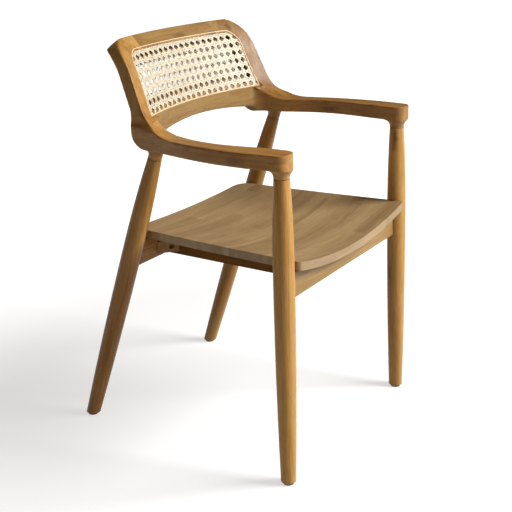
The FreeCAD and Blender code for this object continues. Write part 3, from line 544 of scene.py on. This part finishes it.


# The sanded frame

# The solids that are sanded, the rails under the seat, those whose corners get the deep painted shade, and
# the rest
FRAME_NODES = ("arm_left", "arm_right", "back_post_left", "back_post_right", "top_rail", "lower_back_rail")
HIDDEN_NODES = ("seat_rail_left", "seat_rail_right")
DEEP_SHADE_NODES = ("back_post_left", "back_post_right", "top_rail", "lower_back_rail") + HIDDEN_NODES
SPLINE_NODES = ("cane_spline_front", "cane_spline_rear")
LEG_NODES = ("front_leg_left", "front_leg_right", "rear_leg_left", "rear_leg_right")
DOWEL_NODES = ("arm_post_dowels", "top_rail_dowels", "lower_rail_dowels")

# How far one pass moves a point towards its neighbours
SMOOTHING_FACTOR = 0.5
# Share of the guard strip that isn't sanded at all
GUARD_CORE_SHARE = 0.5


def copied(node):
    """A copy of a solid with its corners merged."""
    piece = bpy.data.objects.new(node + "_copy", NODES[node].data.copy())
    bpy.context.scene.collection.objects.link(piece)
    choose(piece)
    bpy.ops.object.mode_set(mode="EDIT")
    bpy.ops.mesh.select_all(action="SELECT")
    bpy.ops.mesh.remove_doubles(threshold=MERGE_REACH)
    bpy.ops.object.mode_set(mode="OBJECT")
    return piece


def soften(piece, name, passes, weight):
    """Passes of smoothing, each point moved as far as its weight allows."""
    group = piece.vertex_groups.new(name=name)
    for vertex in piece.data.vertices:
        share = weight(vertex.co)
        if share > 0:
            group.add([vertex.index], share, "REPLACE")
    smooth = piece.modifiers.new(name, "SMOOTH")
    smooth.factor = SMOOTHING_FACTOR
    smooth.iterations = passes
    smooth.vertex_group = name
    apply_modifiers(piece)


def largest_part(piece):
    """The piece without the specks of air that stay in its dowel holes."""
    choose(piece)
    bpy.ops.mesh.separate(type="LOOSE")
    parts = sorted(bpy.context.selected_objects, key=lambda part: len(part.data.vertices))
    for speck in parts[:-1]:
        bpy.data.objects.remove(speck)
    return parts[-1]


def glued_frame():
    """Arms, posts and rails as one body with sanded edges and blended corners."""
    shape = bpy.context.scene.chair_frame
    back = bpy.context.scene.chair_back
    body = joined([copied(node) for node in FRAME_NODES + SPLINE_NODES + DOWEL_NODES], "glued_frame")
    body.vertex_groups.clear()
    remesh = body.modifiers.new("grit", "REMESH")
    remesh.mode = "VOXEL"
    remesh.voxel_size = shape.grit
    apply_modifiers(body)
    body = largest_part(body)

    guarded = joined([copied(node) for node in SPLINE_NODES + LEG_NODES], "guarded")
    guard = BVHTree.FromPolygons([vertex.co for vertex in guarded.data.vertices],
                                 [polygon.vertices for polygon in guarded.data.polygons])
    bpy.data.objects.remove(guarded)
    bow = math.sqrt(back.bow_radius ** 2 - shape.rail_joint ** 2)
    low_corner = Vector((shape.rail_joint, back.axis_y + bow, shape.corner_height))
    high_corner = back_point(shape.shoulder_x, shape.shoulder_run, back.thickness / 2)

    def free(place):
        """0 beside the reed and the legs, rising to 1 over the width of the guard strip."""
        away = guard.find_nearest(place)[3]
        return min(max(away / shape.guard - GUARD_CORE_SHARE, 0.0), 1.0)

    def in_corners(place):
        """1 in the middle of a blended corner, falling to 0 at its reach."""
        folded = Vector((abs(place.x), place.y, place.z))
        away = min((folded - low_corner).length, (folded - high_corner).length)
        share = 1 - away / shape.corner_reach
        return share * free(place) if share > 0 else 0.0

    soften(body, "edges", shape.passes, free)
    soften(body, "corners", shape.corner_passes, in_corners)
    body.vertex_groups.clear()
    return body


def saw(piece, point, normal, chosen):
    """Cut off what lies behind a plane, among the faces that are chosen, and close the cut."""
    choose(piece)
    bpy.ops.object.mode_set(mode="EDIT")
    bpy.ops.mesh.select_all(action="DESELECT")
    bpy.ops.mesh.select_mode(type="FACE")
    bpy.ops.object.mode_set(mode="OBJECT")
    for polygon in piece.data.polygons:
        polygon.select = chosen(polygon.center)
    bpy.ops.object.mode_set(mode="EDIT")
    bpy.ops.mesh.bisect(plane_co=point, plane_no=normal, clear_inner=True)
    bpy.ops.mesh.select_mode(type="EDGE")
    bpy.ops.mesh.select_all(action="DESELECT")
    bpy.ops.mesh.select_non_manifold(extend=False, use_wire=False, use_boundary=True, use_multi_face=False,
                                     use_non_contiguous=False, use_verts=False)
    if piece.data.count_selected_items()[1]:
        bpy.ops.mesh.fill()
    bpy.ops.object.mode_set(mode="OBJECT")


def sawn(body, name, cuts):
    """A copy of the body, cut down to one piece."""
    piece = body.copy()
    piece.data = body.data.copy()
    piece.name = name
    piece.data.name = name
    bpy.context.scene.collection.objects.link(piece)
    for point, normal, chosen in cuts:
        saw(piece, point, normal, chosen)
    return piece


def frame_pieces():
    """The glued frame, sawn apart again at its joints: a name for each piece, and its cuts."""
    shape = bpy.context.scene.chair_frame
    back = bpy.context.scene.chair_back

    def low(place):
        return place.z < shape.rail_top

    def everywhere(place):
        return True

    def behind_seam(place):
        return math.hypot(place.x, place.y - back.axis_y) > shape.seam_radius - shape.seam_room

    def between(half_span):
        return [((-half_span, 0, 0), (1, 0, 0), everywhere), ((half_span, 0, 0), (-1, 0, 0), everywhere)]

    pieces = {
        "top_rail": between(shape.top_joint) + [((0, 0, back.curl_start), (0, 0, 1), everywhere)],
        "lower_back_rail": between(shape.rail_joint) + [((0, 0, shape.rail_top), (0, 0, -1), everywhere)],
    }
    for side, hand in ((1, "left"), (-1, "right")):
        depth = math.sqrt(shape.seam_radius ** 2 - shape.seam_x ** 2)
        outward = Vector((side * shape.seam_x, depth, 0))
        seam = Vector((0, back.axis_y, shape.seam_height)) + outward
        up = Vector((0, 0, math.cos(shape.seam_slope))) - outward.normalized() * math.sin(shape.seam_slope)
        top_cut = ((side * shape.top_joint, 0, 0), (side, 0, 0), everywhere)
        rail_cut = ((side * shape.rail_joint, 0, 0), (side, 0, 0), low)
        front = seam - outward.normalized() * shape.seam_room
        pieces["back_post_" + hand] = [top_cut, (front, outward, everywhere), (seam, up, everywhere),
                                       rail_cut]
        pieces["arm_" + hand] = [top_cut, (seam, -up, behind_seam), rail_cut]
    return pieces


# Rear leg: how far it runs back on its way down from the arm to the floor
REAR_LEG_RUN = 0.240
REAR_LEG_DROP = 0.637

# The cut of wood of each piece: direction of the grain, its turn, brightness, warmth
STRAIGHT = (0, 0, 0)
RAKED = (-math.atan2(REAR_LEG_RUN, REAR_LEG_DROP), 0, 0)
# Brightness and warmth hold each piece's own tone and also painted light and shade: the left arm and post are
# darker than the right, and the seat rails under the seat darker and redder, as painted shade
FRAME_TONES_AND_SHADE = {
    "front_leg_left": ("Z", STRAIGHT, 1.04, 0.0),
    "front_leg_right": ("Z", STRAIGHT, 1.1, 0.03),
    "rear_leg_left": ("Z", RAKED, 0.95, 0.0),
    "rear_leg_right": ("Z", RAKED, 0.95, 0.0),
    "arm_left": ("Y", STRAIGHT, 0.66, 0.1),
    "arm_right": ("Y", STRAIGHT, 0.95, 0.06),
    "back_post_left": ("Z", STRAIGHT, 0.68, -0.05),
    "back_post_right": ("Z", STRAIGHT, 1.0, -0.03),
    "top_rail": ("X", STRAIGHT, 0.72, -0.12),
    "lower_back_rail": ("X", STRAIGHT, 0.66, -0.12),
    "front_apron": ("X", STRAIGHT, 0.72, -0.12),
    "rear_apron": ("X", STRAIGHT, 1.0, 0.05),
    "seat_rail_left": ("Y", STRAIGHT, 0.45, 0.3),
    "seat_rail_right": ("Y", STRAIGHT, 0.45, 0.3),
}

# How far the pattern moves on from one piece to the next, so that no two look alike
FRAME_STEP = (0.37, 0.61, 0.23)
SEAT_STEP = (0.29, 0.0, 0.17)
SEAT_BOARDS = 5

# Glue blocks: brightness and warmth against the frame's wood, darker and warmer as painted shade under the
# seat. Dowels: unfinished wood
BLOCK_SHADE_GAIN = 0.6
BLOCK_WARMTH = 0.1
BARE_LIGHT = (0.5, 0.34, 0.17)
BARE_DARK = (0.34, 0.2, 0.09)


class CHAIR_OT_frame_wood(bpy.types.Operator):
    """Give each wooden piece of the frame its own cut of wood, with painted shade on some pieces"""
    bl_idname = "chair.frame_wood"
    bl_label = "Finish the frame's wood"

    def execute(self, context):
        colours = context.scene.chair_colours
        light = tuple(colours.wood_light)
        dark = tuple(colours.wood_dark)
        sawn_pieces = frame_pieces()
        body = glued_frame()
        for number, (node, (direction, turn, gain, warmth)) in enumerate(FRAME_TONES_AND_SHADE.items()):
            sanded = node in sawn_pieces
            rounding = 0.0 if sanded else EDGE_ROUNDING
            gloss = HIDDEN_GLOSS if node in HIDDEN_NODES else SANDED_GLOSS if sanded else TURNED_GLOSS
            # Painted shade in the corners: deepest behind the cane and under the seat
            corner_shade = DEEP_CORNER_SHADE if node in DEEP_SHADE_NODES else SOFT_CORNER_SHADE
            material = wood(node + "_wood", direction, light, dark, turn, stepped(FRAME_STEP, number), gain,
                            warmth, rounding, gloss, corner_shade)
            if sanded:
                finished(sawn(body, "sanded_" + node, sawn_pieces[node]), material, "frame_wood", node)
            else:
                dress(node, material)
        bpy.data.objects.remove(body)
        # The glue blocks are darkened as painted shade under the seat
        dress("glue_blocks", wood("glue_block_wood", "X", light, dark, gain=BLOCK_SHADE_GAIN, warmth=BLOCK_WARMTH))
        bare = wood("dowel_wood", "X", BARE_LIGHT, BARE_DARK)
        for node in DOWEL_NODES:
            dress(node, bare)
        return {"FINISHED"}


class CHAIR_OT_seat_wood(bpy.types.Operator):
    """Give the seat boards their glued staves"""
    bl_idname = "chair.seat_wood"
    bl_label = "Finish the seat boards"

    def execute(self, context):
        colours = context.scene.chair_colours
        for number in range(1, SEAT_BOARDS + 1):
            dress("seat_board_%d" % number,
                  seat_wood("seat_board_%d_wood" % number, tuple(colours.seat_light),
                            tuple(colours.seat_dark), stepped(SEAT_STEP, number)))
        return {"FINISHED"}


class CHAIR_OT_hardware(bpy.types.Operator):
    """Finish the glides, nails and screws"""
    bl_idname = "chair.hardware"
    bl_label = "Finish the hardware"

    def execute(self, context):
        dress("foot_glides", plain_material("glide_plastic", GLIDE_COLOUR, GLIDE_ROUGHNESS))
        steel = plain_material("zinc_steel", STEEL_COLOUR, STEEL_ROUGHNESS, metallic=1.0)
        for node in ("glide_nails", "seat_screws", "glue_block_screws"):
            dress(node, steel)
        return {"FINISHED"}


# Cane

# Steps tried along a line through the field, how many points have to lie in it, and the fewest
# sections of a strand
SPAN_STEPS = 400
LEAST_IN_FIELD = 5
LEAST_SECTIONS = 3

# Where the strands start and end, up the back's face from arm height
FIELD_FOOT = 0.03
FIELD_HEAD = 0.26

# Shares of the groove's width: where strands end, how deep the reed sits, how thick it is
STRAND_END_SHARE = 0.4
REED_SINK_SHARE = 0.30
REED_RADIUS_SHARE = 0.47
REED_RESOLUTION = 3

# From a pair's middle to each strand, as a share of a strand's width
PAIR_SHARE = 0.68
# Rise and fall of a pair as a share of a strand's thickness, and of a diagonal as a share of a pair's
WAVE_SHARE = 0.9
DIAGONAL_SHARE = 1.6

# A border is searched outwards from one point in the field: number of points round it, height of
# that point up the back's face, length of the first try, and how often the way is halved
BORDER_POINTS = 360
BORDER_MIDDLE = 0.12
BORDER_REACH = 0.4
HALVINGS = 26


class CanedField:
    """The caned field on one face of the back."""

    def __init__(self, low, high, depth):
        self.low = low
        self.high = high
        self.depth = depth

    def margin(self, x, run):
        """Distance inside the border, seen from the front. Negative is outside."""
        cane = bpy.context.scene.chair_cane
        z = back_point(x, run, self.depth).z
        share = (z - self.low) / (self.high - self.low)
        half = cane.half_low + (cane.half_high - cane.half_low) * share
        half -= 4 * cane.side_bow * share * (1 - share)
        side = half - abs(x)
        top = self.high - z
        foot = z - self.low - cane.arch * (1 - (x / cane.half_low) ** 2)
        if side < cane.corner and top < cane.corner:
            side = cane.corner - math.hypot(cane.corner - side, cane.corner - top)
        return min(side, top, foot)

    def span(self, start, end, inset):
        """The part of a straight line in the field that keeps inset from the border."""
        inside = []
        for step in range(SPAN_STEPS + 1):
            share = step / SPAN_STEPS
            if self.margin(start[0] + (end[0] - start[0]) * share,
                           start[1] + (end[1] - start[1]) * share) > inset:
                inside.append(share)
        return (inside[0], inside[-1]) if len(inside) >= LEAST_IN_FIELD else None


def caned_fields():
    """The fields on the front and on the rear face of the back."""
    cane = bpy.context.scene.chair_cane
    back = bpy.context.scene.chair_back
    return (CanedField(cane.front_low, cane.front_high, cane.depth),
            CanedField(cane.rear_low, cane.rear_high, back.thickness - cane.depth))


def lay_strand(field, start, end, lift, outward):
    """One flat strand of cane from start to end, lifted over and under the others."""
    cane = bpy.context.scene.chair_cane
    reach = field.span(start, end, cane.groove * STRAND_END_SHARE)
    if not reach:
        return None
    line = Vector((end[0] - start[0], end[1] - start[1]))
    length = line.length * (reach[1] - reach[0])
    sections = max(int(length / cane.pitch * cane.steps), LEAST_SECTIONS)
    bpy.ops.mesh.primitive_grid_add(x_subdivisions=sections, y_subdivisions=2, size=2)
    strand = bpy.context.object
    side = Vector((-line.y, line.x)).normalized() * cane.strand / 2
    crown = cane.gauge / 2
    for vertex in strand.data.vertices:
        share = reach[0] + (reach[1] - reach[0]) * (vertex.co.x + 1) / 2
        x = start[0] + line.x * share + side.x * vertex.co.y
        run = start[1] + line.y * share + side.y * vertex.co.y
        rise = lift(x, run) + crown * (1 - abs(vertex.co.y))
        vertex.co = back_point(x, run, field.depth - rise * outward)
    return strand


def woven_panel(name, field, outward):
    """Six-way cane: pairs across, pairs up, and a single strand along each diagonal."""
    cane = bpy.context.scene.chair_cane
    pitch = cane.pitch
    apart = cane.strand * PAIR_SHARE
    wave = cane.gauge * WAVE_SHARE
    steep = wave * DIAGONAL_SHARE
    low, high = FIELD_FOOT, FIELD_HEAD
    tall = high - low
    wide = cane.half_low + pitch
    turn = math.pi / pitch
    strands = []

    def lay(start, end, lift):
        strands.append(lay_strand(field, start, end, lift, outward))

    def up(x, run):
        return wave * math.cos(turn * run)

    def across(x, run):
        return wave * math.cos(turn * x)

    def rising(x, run):
        return steep * math.cos(turn * (x + run))

    def falling(x, run):
        return steep * math.sin(turn * (x - run))

    def opposite(lift):
        return lambda x, run: -lift(x, run)

    columns = int(wide / pitch) + 1
    for number in range(-columns, columns + 1):
        x = number * pitch
        lay((x - apart, low), (x - apart, high), up)
        lay((x + apart, low), (x + apart, high), opposite(up))
    rows = int(tall / pitch)
    for number in range(rows + 1):
        run = low + number * pitch
        lay((-wide, run - apart), (wide, run - apart), opposite(across))
        lay((-wide, run + apart), (wide, run + apart), across)
    for number in range(-columns - rows - 1, columns + rows + 2):
        x = (number + 0.5) * pitch
        lay((x, low), (x + tall, high), rising)
        lay((x, low), (x - tall, high), falling)
    panel = joined([strand for strand in strands if strand], name)
    solid = panel.modifiers.new("gauge", "SOLIDIFY")
    solid.thickness = cane.gauge
    solid.offset = 0
    apply_modifiers(panel)
    choose(panel)
    bpy.ops.object.mode_set(mode="EDIT")
    bpy.ops.mesh.select_all(action="SELECT")
    bpy.ops.mesh.normals_make_consistent(inside=False)
    bpy.ops.object.mode_set(mode="OBJECT")
    return panel


# Colour of the cane, from patch to patch and along each strand: waves to a metre and detail
PATCH_NOISE = (35.0, 2.0)
THREAD_NOISE = (260.0, 2.0)

# Ramps of both, then relief, brightness of the pale patches and tint of the worn spots
PATCH_RAMP = (0.3, 0.7, 0.0, 0.5)
THREAD_RAMP = (0.5, 0.75, 0.0, 0.5)
CANE_ROUGHNESS = (0.3, 0.7, 0.5, 0.38)
CANE_RELIEF = (0.15, 0.0002)
PATCH_GAIN = 1.12
WORN_TINT = (0.8, 0.68, 0.5)


def cane_material(name, colour):
    """Peeled cane: pale, silky, each strand a little different."""
    n = Nodes(name)
    patch = n.noise(n.place, *PATCH_NOISE)
    thread = n.noise(n.place, *THREAD_NOISE)
    worn = rgba([part * tint for part, tint in zip(colour, WORN_TINT)])
    pale = n.blend(n.ramp(patch, *PATCH_RAMP), rgba(colour), rgba(colour, PATCH_GAIN))
    n.link(n.blend(n.ramp(thread, *THREAD_RAMP), pale, worn), n.shader.inputs["Base Color"])
    n.link(n.ramp(patch, *CANE_ROUGHNESS), n.shader.inputs["Roughness"])
    n.bump(thread, *CANE_RELIEF)
    return n.material


class CHAIR_OT_cane(bpy.types.Operator):
    """Weave the cane panels of both faces of the back"""
    bl_idname = "chair.cane"
    bl_label = "Weave the cane"

    def execute(self, context):
        front, rear = caned_fields()
        material = cane_material("woven_cane", tuple(context.scene.chair_colours.cane))
        finished(woven_panel("cane_front_weave", front, 1), material, "cane", "cane_front")
        finished(woven_panel("cane_rear_weave", rear, -1), material, "cane", "cane_rear")
        return {"FINISHED"}


def border_path(field, inset):
    """Points round the field that keep inset from its border."""
    points = []
    for number in range(BORDER_POINTS):
        angle = 2 * math.pi * number / BORDER_POINTS
        near, far = 0.0, BORDER_REACH
        for _ in range(HALVINGS):
            reach = (near + far) / 2
            if field.margin(reach * math.cos(angle), BORDER_MIDDLE + reach * math.sin(angle)) > inset:
                near = reach
            else:
                far = reach
        points.append((near * math.cos(angle), BORDER_MIDDLE + near * math.sin(angle)))
    return points


def reed(name, field, outward):
    """Half-round reed pressed into the groove round the cane."""
    cane = bpy.context.scene.chair_cane
    path = border_path(field, cane.groove / 2)
    bpy.ops.mesh.primitive_circle_add(vertices=BORDER_POINTS, radius=1)
    loop = bpy.context.object
    sink = cane.depth - cane.groove * REED_SINK_SHARE
    for vertex, (x, run) in zip(loop.data.vertices, path):
        vertex.co = back_point(x, run, field.depth - sink * outward)
    bpy.ops.object.convert(target="CURVE")
    curve = bpy.context.object
    curve.data.bevel_depth = cane.groove * REED_RADIUS_SHARE
    curve.data.bevel_resolution = REED_RESOLUTION
    bpy.ops.object.convert(target="MESH")
    piece = bpy.context.object
    piece.name = name
    piece.data.name = name
    return piece


class CHAIR_OT_reed(bpy.types.Operator):
    """Lay the reed beading that closes the grooves"""
    bl_idname = "chair.reed"
    bl_label = "Lay the reed"

    def execute(self, context):
        front, rear = caned_fields()
        material = cane_material("reed_beading", tuple(context.scene.chair_colours.reed))
        finished(reed("reed_front", front, 1), material, "cane", "cane_spline_front")
        finished(reed("reed_rear", rear, -1), material, "cane", "cane_spline_rear")
        return {"FINISHED"}


# Stage

SENSOR_WIDTH = 36
FAR_CLIP = 200
FLOOR_ROUGHNESS = 0.9
FLOOR_GLOSS = 0.1
WHITE = (1, 1, 1, 1)


def soft_lamp(name, place, aim, power, size):
    """A square lamp that looks at one point."""
    bpy.ops.object.light_add(type="AREA", location=place)
    lamp = bpy.context.object
    lamp.name = name
    lamp.data.energy = power
    lamp.data.size = size
    lamp.rotation_euler = (Vector(aim) - Vector(place)).to_track_quat("-Z", "Y").to_euler()


def shown_rays(n):
    """1 for the rays that show the floor, straight or in a gloss, 0 for those that light the chair."""
    path = n.tree.nodes.new("ShaderNodeLightPath")
    return n.combine("MAXIMUM", path.outputs["Is Camera Ray"], path.outputs["Is Glossy Ray"])


def floor_material(stage):
    """Matt pale floor that shows as white, but for the shadow near the chair."""
    n = Nodes("pale_floor")
    n.shader.inputs["Base Color"].default_value = rgba(WHITE, stage.floor)
    n.shader.inputs["Roughness"].default_value = FLOOR_ROUGHNESS
    n.shader.inputs["Specular IOR Level"].default_value = FLOOR_GLOSS
    reach = n.tree.nodes.new("ShaderNodeVectorMath")
    reach.operation = "LENGTH"
    n.link(n.place, reach.inputs[0])
    glow = n.tree.nodes.new("ShaderNodeEmission")
    n.link(n.ramp(reach.outputs["Value"], stage.shadow_reach, stage.white_reach, stage.lift, 1.0),
           glow.inputs["Strength"])
    lifted = n.tree.nodes.new("ShaderNodeAddShader")
    n.link(n.shader.outputs["BSDF"], lifted.inputs[0])
    n.link(glow.outputs["Emission"], lifted.inputs[1])
    mix = n.tree.nodes.new("ShaderNodeMixShader")
    n.link(shown_rays(n), mix.inputs["Fac"])
    n.link(n.shader.outputs["BSDF"], mix.inputs[1])
    n.link(lifted.outputs["Shader"], mix.inputs[2])
    n.link(mix.outputs["Shader"], n.tree.nodes["Material Output"].inputs["Surface"])
    return n.material


def even_sky(stage):
    """An even warm sky that shows as white."""
    world = bpy.data.worlds.new("even_sky")
    world.use_nodes = True
    tree = world.node_tree
    warm = tree.nodes["Background"]
    warm.inputs["Color"].default_value = rgba(stage.sky_colour)
    warm.inputs["Strength"].default_value = stage.sky
    white = tree.nodes.new("ShaderNodeBackground")
    white.inputs["Color"].default_value = WHITE
    path = tree.nodes.new("ShaderNodeLightPath")
    mix = tree.nodes.new("ShaderNodeMixShader")
    tree.links.new(path.outputs["Is Camera Ray"], mix.inputs["Fac"])
    tree.links.new(warm.outputs["Background"], mix.inputs[1])
    tree.links.new(white.outputs["Background"], mix.inputs[2])
    tree.links.new(mix.outputs["Shader"], tree.nodes["World Output"].inputs["Surface"])
    return world


class CHAIR_OT_stage(bpy.types.Operator):
    """Set up the pale floor, the soft lamps and the camera"""
    bl_idname = "chair.stage"
    bl_label = "Set the stage"

    def execute(self, context):
        stage = context.scene.chair_stage
        bpy.ops.mesh.primitive_plane_add(size=stage.floor_size)
        floor = context.object
        floor.name = "floor"
        floor.data.materials.append(floor_material(stage))
        context.scene.world = even_sky(stage)

        soft_lamp("key_lamp", stage.key_place, stage.lamp_aim, stage.key, stage.key_size)
        soft_lamp("fill_lamp", stage.fill_place, stage.lamp_aim, stage.fill, stage.fill_size)

        back = Vector((math.sin(stage.azimuth) * math.cos(stage.elevation),
                       -math.cos(stage.azimuth) * math.cos(stage.elevation), math.sin(stage.elevation)))
        right = (-back).cross(Vector((0, 0, 1))).normalized()
        up = right.cross(-back)
        turned_right = right * math.cos(stage.roll) + up * math.sin(stage.roll)
        turned_up = up * math.cos(stage.roll) - right * math.sin(stage.roll)
        bpy.ops.object.camera_add()
        camera = context.object
        camera.name = "camera"
        camera.matrix_world = Matrix.Translation(Vector(stage.target) + back * stage.distance) @ Matrix(
            (turned_right, turned_up, back)).transposed().to_4x4()
        camera.data.sensor_width = SENSOR_WIDTH
        camera.data.lens = stage.lens
        camera.data.clip_end = FAR_CLIP
        context.scene.camera = camera
        context.scene.view_settings.view_transform = "Standard"
        clear_selection()
        return {"FINISHED"}


class CHAIR_PT_panel(bpy.types.Panel):
    """Lists the chair's steps"""
    bl_idname = "CHAIR_PT_panel"
    bl_label = "Cane Back Armchair"
    bl_space_type = "VIEW_3D"
    bl_region_type = "UI"
    bl_category = "Chair"

    def draw(self, context):
        for step in STEPS:
            self.layout.operator(step.bl_idname)


STEPS = (CHAIR_OT_stage, CHAIR_OT_frame_wood, CHAIR_OT_seat_wood, CHAIR_OT_hardware, CHAIR_OT_cane,
         CHAIR_OT_reed)
GROUPS = {"chair_back": ChairBack, "chair_frame": FrameShape, "chair_cane": CaneWork,
          "chair_colours": ChairColours, "chair_stage": ChairStage}


def register():
    for group in GROUPS.values():
        bpy.utils.register_class(group)
    for name, group in GROUPS.items():
        setattr(bpy.types.Scene, name, PointerProperty(type=group))
    for step in STEPS:
        bpy.utils.register_class(step)
    bpy.utils.register_class(CHAIR_PT_panel)


def unregister():
    bpy.utils.unregister_class(CHAIR_PT_panel)
    for step in reversed(STEPS):
        bpy.utils.unregister_class(step)
    for name, group in GROUPS.items():
        delattr(bpy.types.Scene, name)
        bpy.utils.unregister_class(group)


def main():
    register()
    clear_selection()
    bpy.ops.chair.stage()
    bpy.ops.chair.frame_wood()
    bpy.ops.chair.seat_wood()
    bpy.ops.chair.hardware()
    bpy.ops.chair.cane()
    bpy.ops.chair.reed()


if __name__ == "__main__":
    main()
